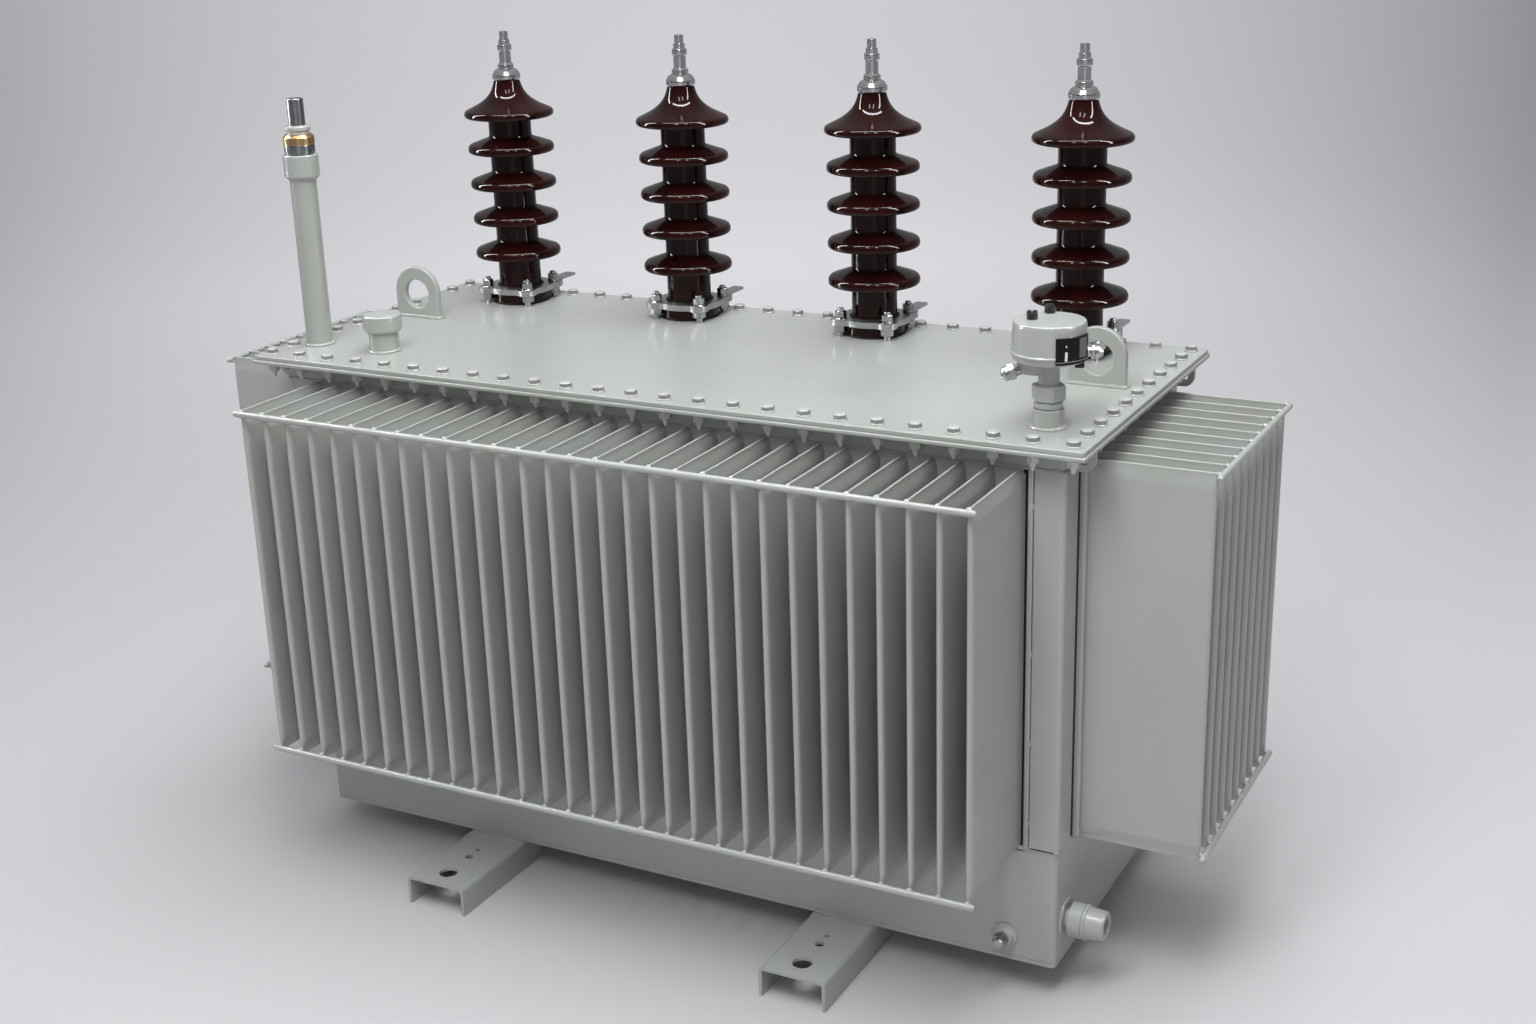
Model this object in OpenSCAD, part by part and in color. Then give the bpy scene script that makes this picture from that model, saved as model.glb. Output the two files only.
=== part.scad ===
// Oil-immersed shunt reactor: a welded steel tank with corrugated cooling walls on all
// four sides, a bolted cover with four porcelain bushings, an oil filler, a protection
// relay, and two folded channels to stand on.
// Millimetres, +Z up, origin on the ground under the middle of the tank, +X along the tank.

/* [Skids] */
// Height of the folded channel, which is also the tank's clearance over the ground
skid_h = 56; // [45:1:80]
// Width over the web of the channel
skid_w = 124; // [100:1:160]
// Plate thickness of the channel
skid_t = 6; // [4:0.5:8]
// Outside radius of the channel's folded edges
skid_bend_r = 10; // [9:0.5:14]
// Length of each channel, across the tank
skid_len = 980; // [860:10:1100]
// Distance between the two channels, middle to middle
skid_gauge = 732; // [560:2:1000]
// Diameter of the anchor hole near each end
anchor_d = 34; // [20:1:40]
// Distance of the anchor hole from the channel's end
anchor_inset = 42; // [30:1:60]
// Diameters of the two smaller holes behind the anchor hole
lash_hole_d = [16, 10];
// Distances of the two smaller holes from the channel's end
lash_hole_inset = [108, 136];

/* [Tank] */
// Length over the tank's end walls
tank_l = 1510; // [1300:10:1700]
// Width over the tank's long walls
tank_w = 580; // [520:10:700]
// Thickness of the floor plate
floor_t = 8; // [5:0.5:12]
// Height of the plain skirt below the cooling walls, floor plate included
skirt_h = 211; // [150:1:300]
// Plate thickness of the skirt
skirt_t = 6; // [4:0.5:10]
// Radius of the tank's vertical corners
corner_r = 10; // [8:0.5:14]
// Height of the rim band between the cooling walls and the flange
rim_h = 32; // [26:1:50]
// Plate thickness of the rim band
rim_t = 8; // [6:0.5:12]
// How far the rim band stands out from the skirt
rim_proud = 3; // [1:0.5:5]
// Width of a corner post on the long side
post_w = 57; // [40:1:64]
// Width of a corner post on the end side
post_d = 76; // [50:1:78]
// Plate thickness of a corner post
post_t = 6; // [4:0.5:8]
// How far a corner post laps over the skirt
post_proud = 2; // [1:0.5:3]

/* [Cooling walls] */
// Height of the corrugated walls
wall_h = 657; // [500:1:800]
// Thickness of the wall sheet between the fins
wall_t = 4; // [2:0.5:5]
// Depth of the fins, from the wall to the tip
fin_depth = 213; // [150:1:260]
// Thickness of a fin over its two sheets
fin_t = 10; // [8:0.5:12]
// Radius of a fin's folded nose
fin_nose_r = 3; // [2:0.25:3.5]
// Length over which a fin narrows to its nose
fin_nose_len = 15; // [10:1:25]
// Thickness of the pressed seam that closes a fin at its top and bottom
fin_seam_t = 2.5; // [2:0.25:4]
// Height over which a fin is pressed flat to its seam
fin_pinch_h = 36; // [20:1:60]
// Spacing of the fins that is aimed for on the long walls
long_pitch = 49; // [40:0.5:60]
// Distance of the outer fins' middles from the corner posts on the long walls
long_margin = 12; // [6:0.5:24]
// Spacing of the fins that is aimed for on the end walls
end_pitch = 46; // [40:0.5:60]
// Distance of the outer fins' middles from the corner posts on the end walls
end_margin = 7; // [6:0.5:24]
// Diameter of the round bars welded across the fin tips
rail_d = 11; // [8:0.5:14]
// How far a bar runs past the last fin
rail_over = 8; // [6:1:12]
// Distance of a bar's middle from the ends of the fins
rail_inset = 6; // [5:0.5:12]

/* [Cover] */
// How far the cover and the flange reach past the tank's walls
cover_over = 45; // [42:1:80]
// Thickness of the cover plate
cover_t = 8; // [5:0.5:14]
// Thickness of the tank's flange under the cover
flange_t = 8; // [5:0.5:14]
// Width of the flange inside the rim band
flange_lip = 12; // [6:1:30]
// Radius of the cover's and flange's corners
cover_r = 6; // [4:0.5:12]
// Length of a lashing eye out from the rim band
eye_l = 38; // [30:1:40]
// Height of a lashing eye
eye_h = 36; // [30:1:50]
// Plate thickness of a lashing eye
eye_t = 10; // [6:0.5:14]
// Diameter of the hole in a lashing eye
eye_d = 14; // [8:0.5:16]
// Distance of a lashing eye from the tank's corner
eye_inset = 26; // [20:1:60]

/* [Lifting lugs] */
// Width of a lug, twice the radius of its round top
lug_w = 100; // [80:1:140]
// Plate thickness of a lug
lug_t = 13; // [8:0.5:20]
// Diameter of the lifting hole
lug_d = 56; // [30:1:60]
// Height of the lifting hole over the cover
lug_hole_z = 47; // [40:1:60]
// Height of the centre of a lug's round top over the cover
lug_round_z = 50; // [45:1:70]
// Distance of the lugs from the cover's ends
lug_inset = 104; // [90:1:160]
// Place of the lugs across the cover
lug_y = 34; // [0:1:60]

/* [Bushings] */
// Spacing of the bushings
bushing_pitch = 395; // [330:1:400]
// Distance of the bushing row from the cover's back edge
bushing_inset = 99; // [95:1:140]
// Radius of the porcelain column
column_r = 42; // [36:0.5:46]
// Radius of the plain sheds
shed_r = 85; // [70:0.5:95]
// Radius of the bell-shaped top shed
bell_r = 88; // [75:0.5:100]
// Number of plain sheds
sheds = 4; // [2:1:5]
// Height of the lowest shed's rim over the cover
shed_first = 101; // [95:1:130]
// Spacing of the sheds
shed_pitch = 69; // [55:0.5:80]
// Rise of a shed's top face from its rim to the column
shed_rise = 23; // [14:0.5:26]
// Radius of the rounded rim of a shed
shed_rim_r = 5; // [3:0.25:6]
// Height of the bell-shaped shed
bell_h = 62; // [50:1:80]
// Radius of the porcelain's neck under the metal cap
neck_r = 22; // [18:0.5:26]
// Radius of the porcelain's foot, which the clamp holds down
foot_r = 56; // [50:0.5:60]
// Height of the porcelain's foot
foot_h = 21.7; // [15:0.1:30]

/* [Bushing clamps and terminals] */
// Distance of the clamp studs from the bushing's axis, along X and Y
stud_off = 47; // [46:0.5:50]
// Diameter of a clamp stud
stud_d = 12; // [8:0.5:14]
// Length of a clamp stud over the clamp plate
stud_over = 19; // [14:0.5:26]
// Diameter of the collar under the clamp plate
stud_collar_d = 22; // [18:0.5:26]
// Height of the collar under the clamp plate
stud_collar_h = 12; // [8:0.5:14]
// Radius of the clamp plate's corners round a stud
clamp_ear_r = 18; // [15:0.5:22]
// Depth of the waist between a corner of the clamp plate and its bulged side
clamp_waist = 4; // [2:0.5:6]
// How far the middle of a clamp plate's side bulges past its corners
clamp_bulge = 1; // [0:0.25:3]
// Thickness of the clamp plate
clamp_t = 11; // [6:0.5:14]
// Width of the flat tab on one stud
tab_w = 22; // [16:0.5:26]
// Length of the flat tab from its stud
tab_l = 66; // [50:1:70]
// Thickness of the flat tab
tab_t = 4; // [3:0.5:6]
// Radius of the terminal's round cap
cap_r = 27.5; // [24:0.5:32]
// Height of the terminal's round cap
cap_h = 24; // [16:0.5:30]
// Height of the cone over the round cap
cap_cone_h = 10; // [6:0.5:16]
// Radius of the terminal's lower stem
stem_r = 11.7; // [10:0.1:14]
// Height of the lower stem
stem_h = 26; // [18:0.5:36]
// Radius of the ring between the stems
stem_ring_r = 13.5; // [13:0.1:16]
// Height of the ring between the stems
stem_ring_h = 6; // [4:0.5:10]
// Radius of the shoulder over the ring
shoulder_r = 10.8; // [10:0.1:12]
// Height of the shoulder, which is drilled across
shoulder_h = 12; // [10:0.5:18]
// Diameter of the cross hole in the shoulder
cross_d = 6; // [4:0.5:8]
// Radius of the terminal's tip, where a connector is clamped
tip_r = 8.5; // [7:0.1:9.5]
// Height of the tip
tip_h = 16; // [12:0.5:30]

/* [Oil filler] */
// Distances of the tall pipe from the cover's left end and front edge
pipe_inset = [60, 118];
// Diameter of the tall pipe
pipe_d = 48; // [40:0.5:56]
// Height of the tall pipe
pipe_h = 307; // [250:1:400]
// Wall thickness of the tall pipe
pipe_t = 4; // [3:0.5:6]
// Diameter of the pipe coupling
coupling_d = 64; // [60:0.5:74]
// Height of the pipe coupling
coupling_h = 48; // [36:1:60]
// Height of the coupling's sloped underside
coupling_slope_h = 9; // [5:0.5:14]
// Diameter of the steel ring on the coupling
steel_ring_d = 56; // [48:0.5:60]
// Height of the steel ring
steel_ring_h = 19; // [12:0.5:26]
// Diameter of the brass ring
brass_ring_d = 57; // [48:0.5:60]
// Height of the brass ring
brass_ring_h = 17; // [12:0.5:24]
// Diameter of the grooved collar over the brass ring
collar_d = 47; // [40:0.5:50]
// Height of the grooved collar
collar_h = 16; // [12:0.5:22]
// Diameter of the steel stem at the top
valve_stem_d = 30; // [24:0.5:34]
// Height of the steel stem
valve_stem_h = 48; // [36:1:60]
// Distances of the short filler neck from the cover's left end and front edge
neck_inset = [210, 121];
// Diameter of the short filler neck
neck_d = 54; // [44:0.5:62]
// Height of the short filler neck
neck_h = 38; // [28:0.5:60]
// Diameter of the screw cap
screw_cap_d = 70; // [66:0.5:84]
// Height of the screw cap
screw_cap_h = 33; // [24:0.5:44]

/* [Protection relay] */
// Distances of the relay from the cover's right end and front edge
relay_inset = [96, 109];
// Diameter of the welded socket
socket_d = 49; // [44:0.5:56]
// Height of the welded socket
socket_h = 31; // [24:0.5:40]
// Diameter of the thread collar over the socket
thread_d = 44; // [40:0.5:44]
// Height of the thread collar
thread_h = 13; // [10:0.5:20]
// Width across the corners of the hexagon nut
nut_d = 51; // [46:0.5:60]
// Height of the hexagon nut
nut_h = 25; // [18:0.5:34]
// Diameter of the relay's neck
relay_neck_d = 33; // [24:0.5:38]
// Height of the relay's neck
relay_neck_h = 55; // [40:0.5:66]
// Diameter of the relay's drum
drum_d = 116; // [100:1:130]
// Height of the relay's drum
drum_h = 62; // [54:1:72]
// Radius of the drum's rounded top edge
drum_edge_r = 6; // [3:0.5:8]
// How far the band round the drum's foot stands out
drum_band = 2.5; // [1.5:0.5:4]
// Height of the band round the drum's foot
drum_band_h = 15; // [10:0.5:20]
// Diameter of the terminal box under the drum
box_d = 62; // [54:1:64]
// Height of the terminal box
box_h = 24; // [16:0.5:28]
// Distance of the terminal box from the relay's axis
box_off = 24; // [20:0.5:26]
// Direction of the terminal box, seen from above
box_dir = 165; // [120:5:200]
// Middle of the window, seen from above
window_dir = -30; // [-60:1:0]
// Angle that the window goes round the drum
window_arc = 63; // [40:1:72]
// Height of the window
window_h = 41; // [24:0.5:44]
// Height of the window's lower edge over the drum's foot
window_z = 4; // [3:0.5:8]
// How far the window stands out of the drum
window_proud = 3; // [2.75:0.25:4.5]
// Diameter of a test knob
knob_d = 17; // [12:0.5:22]
// Height of a test knob
knob_h = 13; // [8:0.5:18]
// Distances of the two test knobs from the relay's axis
knob_offs = [27, 43];
// Directions of the two test knobs, seen from above
knob_dirs = [200, 110];
// Diameter of a cable gland
gland_d = 27; // [20:0.5:27]
// Length of a cable gland
gland_l = 24; // [18:0.5:34]
// Direction of the gland under the drum, seen from above
gland_dir = 215; // [190:5:240]
// Direction of the gland on the drum's side, seen from above
side_gland_dir = 20; // [14:1:40]
// Height of the gland on the drum's side over the drum's foot
side_gland_z = 11; // [9:0.5:14]

/* [Drain valve and earth terminal] */
// Distance of the drain valve from the tank's front wall
drain_y = 50; // [40:1:120]
// Height of the drain valve's axis over the ground
drain_z = 128; // [100:1:180]
// Diameter of the welded plate behind the valve
drain_plate_d = 65; // [62:0.5:76]
// Thickness of the welded plate
drain_plate_t = 4; // [2:0.5:8]
// Diameter and length of the valve's narrow neck
drain_neck = [46, 7];
// Diameter and length of the valve's body
drain_body = [59, 24];
// Diameter and length of the ring on the valve's body
drain_ring = [61, 5];
// Diameter at the ring, diameter at the end and length of the valve's cap
drain_cap = [55, 50, 32];
// Diameter of the outlet in the cap
drain_bore_d = 29; // [20:0.5:32]
// Depth of the outlet
drain_bore_l = 26; // [12:1:30]
// Distance of the earth terminal from the tank's end wall
earth_x = 88; // [60:1:160]
// Height of the earth terminal over the ground
earth_z = 100; // [90:1:140]
// Diameter and thickness of the earth terminal's disc
earth_disc = [40, 7];
// Diameter and thickness of the boss on the disc
earth_boss = [30, 7];
// Diameter and length of the earth stud past the boss
earth_stud = [16, 20];

/* [Hidden] */
$fn = 64;
paint = "#8f9993";
bare_metal = "#b9bcbd";
glaze = "#34100e";
brass = "#b98f55";
black = "#1b1c1d";

// Gap left between curved faces that lie against each other
seat_gap = 0.3;
// Overlap that fuses two shapes of one piece, and lets a cut run past its faces
bite = 1;
skirt_top = skid_h + skirt_h;
wall_top = skirt_top + wall_h;
flange_z = wall_top + rim_h;
cover_z = flange_z + flange_t;
deck_z = cover_z + cover_t;
rim_l = tank_l + 2 * rim_proud;
rim_w = tank_w + 2 * rim_proud;
post_l = tank_l + 2 * post_proud;
post_span_w = tank_w + 2 * post_proud;
long_wall_l = tank_l - 2 * post_w;
end_wall_l = tank_w - 2 * post_d;
cover_l = tank_l + 2 * cover_over;
cover_w = tank_w + 2 * cover_over;
lug_x = cover_l / 2 - lug_inset;
bushing_y = cover_w / 2 - bushing_inset;
pipe_at = [pipe_inset[0] - cover_l / 2, pipe_inset[1] - cover_w / 2];
neck_at = [neck_inset[0] - cover_l / 2, neck_inset[1] - cover_w / 2];
relay_at = [cover_l / 2 - relay_inset[0], relay_inset[1] - cover_w / 2];
bell_rim_z = shed_first + sheds * shed_pitch;
porcelain_h = bell_rim_z + bell_h;
clamp_z = foot_h + seat_gap;
clamp_top = clamp_z + clamp_t;
relay_z = deck_z + socket_h + thread_h;
drum_z = relay_z + nut_h + relay_neck_h - drum_band_h;

// A rectangle about the origin with round corners
module round_rect(l, w, r) {
    square([l - 2 * r, w], center = true);
    square([l, w - 2 * r], center = true);
    for (x = [-1, 1], y = [-1, 1])
        translate([x * (l / 2 - r), y * (w / 2 - r)]) circle(r);
}

// A rectangular ring, seen from above, with round outside corners
module plan_ring(l, w, r, t) {
    difference() {
        round_rect(l, w, r);
        round_rect(l - 2 * t, w - 2 * t, max(r - t, bite));
    }
}

// A plate of which the upper two corners are round, standing on the X axis
module arched_outline(w, h, r) {
    translate([-w / 2, 0]) square([w, h - r]);
    translate([r - w / 2, 0]) square([w - 2 * r, h]);
    for (x = [-1, 1]) translate([x * (w / 2 - r), h - r]) circle(r);
}

// Skids: folded channels with the open side down, drilled at both ends
module skid(side) {
    color(paint) translate([side * skid_gauge / 2, 0, 0]) difference() {
        rotate([90, 0, 0]) linear_extrude(skid_len, center = true) difference() {
            arched_outline(skid_w, skid_h, skid_bend_r);
            translate([0, -bite])
                arched_outline(skid_w - 2 * skid_t, skid_h - skid_t + bite, skid_bend_r - skid_t);
        }
        for (end = [-1, 1]) {
            skid_hole(end, anchor_inset, anchor_d);
            for (i = [0, 1]) skid_hole(end, lash_hole_inset[i], lash_hole_d[i]);
        }
    }
}

module skid_hole(end, inset, d) {
    translate([0, end * (skid_len / 2 - inset), skid_h - skid_t - bite]) cylinder(d = d, h = skid_t + 2 * bite);
}

// Tank: floor plate, skirt, corner posts, rim band and flange
module tank_floor() {
    color(paint) translate([0, 0, skid_h]) linear_extrude(floor_t) round_rect(tank_l, tank_w, corner_r);
}

module tank_skirt() {
    color(paint) translate([0, 0, skid_h + floor_t]) linear_extrude(skirt_h - floor_t)
        plan_ring(tank_l, tank_w, corner_r, skirt_t);
}

module corner_posts() {
    color(paint) translate([0, 0, skirt_top]) linear_extrude(wall_h) difference() {
        plan_ring(post_l, post_span_w, corner_r, post_t);
        square([long_wall_l, 2 * tank_w], center = true);
        square([2 * tank_l, end_wall_l], center = true);
    }
}

module tank_rim() {
    color(paint) translate([0, 0, wall_top]) linear_extrude(rim_h) plan_ring(rim_l, rim_w, corner_r, rim_t);
}

module tank_flange() {
    color(paint) translate([0, 0, flange_z]) linear_extrude(flange_t) difference() {
        round_rect(cover_l, cover_w, cover_r);
        square([rim_l - 2 * (rim_t + flange_lip), rim_w - 2 * (rim_t + flange_lip)], center = true);
    }
}

// Cooling walls: a fin is a folded pocket that narrows to its nose, and is pressed flat to a
// seam at its top and bottom. It is drawn with the wall along X and the fin out along -Y.
module fin() {
    half = fin_t / 2;
    seam = fin_seam_t / 2;
    intersection() {
        linear_extrude(wall_h) {
            polygon([[-half, wall_t], [half, wall_t], [half, fin_nose_len - fin_depth],
                     [fin_nose_r, fin_nose_r - fin_depth], [-fin_nose_r, fin_nose_r - fin_depth],
                     [-half, fin_nose_len - fin_depth]]);
            translate([0, fin_nose_r - fin_depth]) circle(fin_nose_r);
        }
        translate([0, wall_t, 0]) rotate([90, 0, 0]) linear_extrude(fin_depth + wall_t + bite)
            polygon([[-seam, 0], [seam, 0], [half, fin_pinch_h], [half, wall_h - fin_pinch_h],
                     [seam, wall_h], [-seam, wall_h], [-half, wall_h - fin_pinch_h], [-half, fin_pinch_h]]);
    }
}

// The fins are spread evenly over the wall, at about the spacing that is aimed for
module fin_wall(l, margin, pitch) {
    span = l - 2 * margin;
    gaps = round(span / pitch);
    translate([-l / 2, 0, 0]) cube([l, wall_t, wall_h]);
    for (i = [0 : gaps]) translate([span * i / gaps - span / 2, 0, 0]) fin();
}

// The bars lie against the fin noses, one near the top and one near the bottom
module fin_rails(wall_l, margin) {
    l = wall_l - 2 * margin + fin_t + 2 * rail_over;
    for (z = [rail_inset, wall_h - rail_inset])
        translate([-l / 2, -fin_depth - seat_gap - rail_d / 2, z]) rotate([0, 90, 0]) cylinder(d = rail_d, h = l);
}

// Puts a wall or its bars on the front, right, back or left side of the tank
module on_side(quarter_turns) {
    out = quarter_turns % 2 == 0 ? tank_w / 2 : tank_l / 2;
    rotate([0, 0, 90 * quarter_turns]) translate([0, -out, skirt_top]) children();
}

module long_fin_wall(turns) { color(paint) on_side(turns) fin_wall(long_wall_l, long_margin, long_pitch); }
module end_fin_wall(turns) { color(paint) on_side(turns) fin_wall(end_wall_l, end_margin, end_pitch); }
module long_fin_rails(turns) { color(paint) on_side(turns) fin_rails(long_wall_l, long_margin); }
module end_fin_rails(turns) { color(paint) on_side(turns) fin_rails(end_wall_l, end_margin); }

// Cover with its lifting lugs, and the lashing eyes under the flange
module cover() {
    color(paint) translate([0, 0, cover_z]) linear_extrude(cover_t) round_rect(cover_l, cover_w, cover_r);
}

module lifting_lug(side) {
    color(paint) translate([side * lug_x, lug_y + lug_t / 2, deck_z]) rotate([90, 0, 0]) linear_extrude(lug_t)
        difference() {
            union() {
                translate([-lug_w / 2, 0]) square([lug_w, lug_round_z]);
                translate([0, lug_round_z]) circle(lug_w / 2);
            }
            translate([0, lug_hole_z]) circle(d = lug_d);
        }
}

module lashing_eyes() {
    round_r = eye_h / 2;
    color(paint) for (x = [0, 1], y = [-1, 1])
        mirror([x, 0, 0]) translate([rim_l / 2, y * (tank_w / 2 - eye_inset) + eye_t / 2, flange_z])
            rotate([90, 0, 0]) linear_extrude(eye_t) difference() {
                union() {
                    translate([0, -eye_h]) square([eye_l - round_r, eye_h]);
                    translate([0, -round_r]) square([eye_l, round_r]);
                    translate([eye_l - round_r, -round_r]) circle(round_r);
                }
                translate([eye_l - round_r, -round_r]) circle(d = eye_d);
            }
}

// Bushings stand in a row along the back of the cover
module on_bushing(n) {
    translate([(n - 2.5) * bushing_pitch, bushing_y, deck_z]) children();
}

// Half outline of a shed: a sloped top face, a round rim and a shallow underside
module shed_outline(r, rise, top_r, bend) {
    steps = 12;
    rim_x = r - shed_rim_r;
    polygon(concat(
        [[0, -shed_rim_r / 2], [top_r, -shed_rim_r / 2], [rim_x, -shed_rim_r]],
        [for (i = [0 : steps])
            [top_r + (rim_x - top_r) * pow(1 - i / steps, bend), shed_rim_r + (rise - shed_rim_r) * i / steps]],
        [[0, rise]]));
    translate([rim_x, 0]) circle(shed_rim_r);
}

module insulator(n) {
    plain_bend = 1.15;
    bell_bend = 1.75;
    color(glaze) on_bushing(n) rotate_extrude() {
        square([foot_r, foot_h]);
        square([column_r, bell_rim_z]);
        for (i = [0 : sheds - 1])
            translate([0, shed_first + i * shed_pitch]) shed_outline(shed_r, shed_rise, column_r, plain_bend);
        translate([0, bell_rim_z]) shed_outline(bell_r, bell_h, neck_r, bell_bend);
    }
}

// The clamp plate holds the porcelain's foot down on four studs, one of which carries a tab.
// Its sides bulge round the porcelain, with a waist beside each corner.
module clamp_outline() {
    reach = stud_off + clamp_ear_r;
    square(2 * (reach - clamp_waist), center = true);
    circle(reach + clamp_bulge);
    for (x = [-1, 1], y = [-1, 1]) translate([x * stud_off, y * stud_off]) circle(clamp_ear_r);
}

module bushing_clamp(n) {
    collar_z = clamp_z - stud_collar_h;
    taper_h = stud_collar_h / 3;
    color(bare_metal) on_bushing(n) {
        difference() {
            union() {
                translate([0, 0, clamp_z]) linear_extrude(clamp_t) clamp_outline();
                for (x = [-1, 1], y = [-1, 1]) translate([x * stud_off, y * stud_off, 0]) {
                    cylinder(d = stud_d, h = clamp_top + stud_over);
                    translate([0, 0, collar_z]) cylinder(d1 = stud_d, d2 = stud_collar_d, h = taper_h);
                    translate([0, 0, collar_z + taper_h])
                        cylinder(d = stud_collar_d, h = stud_collar_h - taper_h + bite);
                }
                translate([stud_off, stud_off, clamp_top - bite]) linear_extrude(tab_t + bite) {
                    circle(d = tab_w);
                    translate([-tab_w / 2, 0]) square([tab_w, tab_l]);
                }
            }
            translate([0, 0, -bite]) cylinder(r = column_r + seat_gap, h = clamp_top + tab_t + 2 * bite);
            translate([0, 0, -bite]) cylinder(r = foot_r + seat_gap, h = clamp_z + bite);
        }
    }
}

// Metal cap and stepped stem on top of the porcelain
module terminal(n) {
    cone_z = cap_h + cap_cone_h;
    ring_z = cone_z + stem_h;
    shoulder_z = ring_z + stem_ring_h;
    tip_z = shoulder_z + shoulder_h;
    chamfer = 1.5;
    color(bare_metal) on_bushing(n) translate([0, 0, porcelain_h]) difference() {
        rotate_extrude() {
            square([cap_r - cap_h / 2, cap_h]);
            translate([cap_r - cap_h / 2, cap_h / 2]) circle(cap_h / 2);
            polygon([[0, cap_h - bite], [cap_r - cap_h / 2, cap_h - bite], [stem_r, cone_z], [0, cone_z]]);
            square([stem_r, ring_z + bite]);
            translate([0, ring_z]) square([stem_ring_r, stem_ring_h]);
            translate([0, shoulder_z - bite]) square([shoulder_r, shoulder_h + bite]);
            polygon([[0, tip_z - bite], [tip_r, tip_z - bite], [tip_r, tip_z + tip_h - chamfer],
                     [tip_r - chamfer, tip_z + tip_h], [0, tip_z + tip_h]]);
        }
        translate([0, 0, shoulder_z + shoulder_h / 2]) rotate([90, 0, 0])
            cylinder(d = cross_d, h = 4 * shoulder_r, center = true);
    }
}

// Oil filler: a tall pipe with a coupling and a valve stem, and a short neck with a screw cap
module on_pipe(z) {
    translate([pipe_at[0], pipe_at[1], deck_z + z]) children();
}

module filler_pipe() {
    color(paint) on_pipe(0) difference() {
        cylinder(d = pipe_d, h = pipe_h);
        translate([0, 0, -bite]) cylinder(d = pipe_d - 2 * pipe_t, h = pipe_h + 2 * bite);
    }
}

module pipe_coupling() {
    r = coupling_d / 2;
    color(paint) on_pipe(pipe_h) rotate_extrude()
        polygon([[0, 0], [pipe_d / 2 + bite, 0], [r, coupling_slope_h], [r, coupling_h], [0, coupling_h]]);
}

module pipe_steel_ring() {
    color(bare_metal) on_pipe(pipe_h + coupling_h) cylinder(d = steel_ring_d, h = steel_ring_h);
}

module pipe_brass_ring() {
    r = brass_ring_d / 2;
    slope = r - collar_d / 2;
    color(brass) on_pipe(pipe_h + coupling_h + steel_ring_h) rotate_extrude()
        polygon([[0, 0], [r - bite, 0], [r, bite], [r, brass_ring_h - slope - bite],
                 [r - slope, brass_ring_h], [0, brass_ring_h]]);
}

module pipe_collar() {
    r = collar_h / 4;
    color(paint) on_pipe(pipe_h + coupling_h + steel_ring_h + brass_ring_h) rotate_extrude() {
        square([collar_d / 2 - r, collar_h]);
        translate([collar_d / 2 - r, collar_h - r]) circle(r);
    }
}

module pipe_stem() {
    color(bare_metal) on_pipe(pipe_h + coupling_h + steel_ring_h + brass_ring_h + collar_h) rotate_extrude()
        polygon([[0, 0], [valve_stem_d / 2, 0], [valve_stem_d / 2, valve_stem_h - bite],
                 [valve_stem_d / 2 - bite, valve_stem_h], [0, valve_stem_h]]);
}

module filler_neck() {
    color(paint) translate([neck_at[0], neck_at[1], deck_z]) difference() {
        cylinder(d = neck_d, h = neck_h);
        translate([0, 0, -bite]) cylinder(d = neck_d - 2 * pipe_t, h = neck_h + 2 * bite);
    }
}

module filler_cap() {
    edge_r = 3;
    r = screw_cap_d / 2;
    color(paint) translate([neck_at[0], neck_at[1], deck_z + neck_h]) rotate_extrude() {
        square([r, screw_cap_h - edge_r]);
        square([r - edge_r, screw_cap_h]);
        translate([r - edge_r, screw_cap_h - edge_r]) circle(edge_r);
    }
}

// Protection relay: socket, hexagon nut, round drum with a window, knobs and cable glands
module on_relay(z) {
    translate([relay_at[0], relay_at[1], z]) children();
}

module relay_socket() {
    color(paint) on_relay(deck_z) {
        cylinder(d = socket_d, h = socket_h);
        cylinder(d = thread_d, h = socket_h + thread_h);
    }
}

module relay_nut() {
    color(paint) on_relay(relay_z) cylinder(d = nut_d, h = nut_h, $fn = 6);
}

module drum_body() {
    rotate_extrude() {
        square([drum_d / 2, drum_h - drum_edge_r]);
        square([drum_d / 2 - drum_edge_r, drum_h]);
        translate([drum_d / 2 - drum_edge_r, drum_h - drum_edge_r]) circle(drum_edge_r);
        square([drum_d / 2 + drum_band, drum_band_h - drum_band]);
        translate([drum_d / 2, drum_band_h - drum_band]) circle(drum_band);
    }
}

module relay_drum() {
    color(paint) {
        on_relay(drum_z) difference() {
            drum_body();
            window_solid(seat_gap);
        }
        on_relay(relay_z + nut_h) cylinder(d = relay_neck_d, h = drum_z - relay_z - nut_h + bite);
        on_relay(drum_z - box_h) rotate([0, 0, box_dir]) translate([box_off, 0, 0])
            cylinder(d = box_d, h = box_h + bite);
    }
}

// The window is a bent pane let into the drum's side
module window_solid(gap) {
    pane_t = 4;
    half = window_arc / 2;
    out = drum_d / 2 + (gap > 0 ? 2 * drum_band : window_proud);
    inner = drum_d / 2 - pane_t - gap;
    reach = 2 * drum_d;
    translate([0, 0, window_z - gap])
        rotate([0, 0, window_dir]) linear_extrude(window_h + 2 * gap) intersection() {
            difference() {
                circle(out);
                circle(inner);
            }
            polygon([[0, 0], [reach, -reach * tan(half) - gap], [reach, reach * tan(half) + gap]]);
        }
}

module relay_window() {
    color(black) on_relay(drum_z) window_solid(0);
}

module relay_knobs() {
    color(black) for (i = [0, 1])
        on_relay(drum_z + drum_h) rotate([0, 0, knob_dirs[i]]) translate([knob_offs[i], 0, 0])
            cylinder(d = knob_d, h = knob_h);
}

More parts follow.
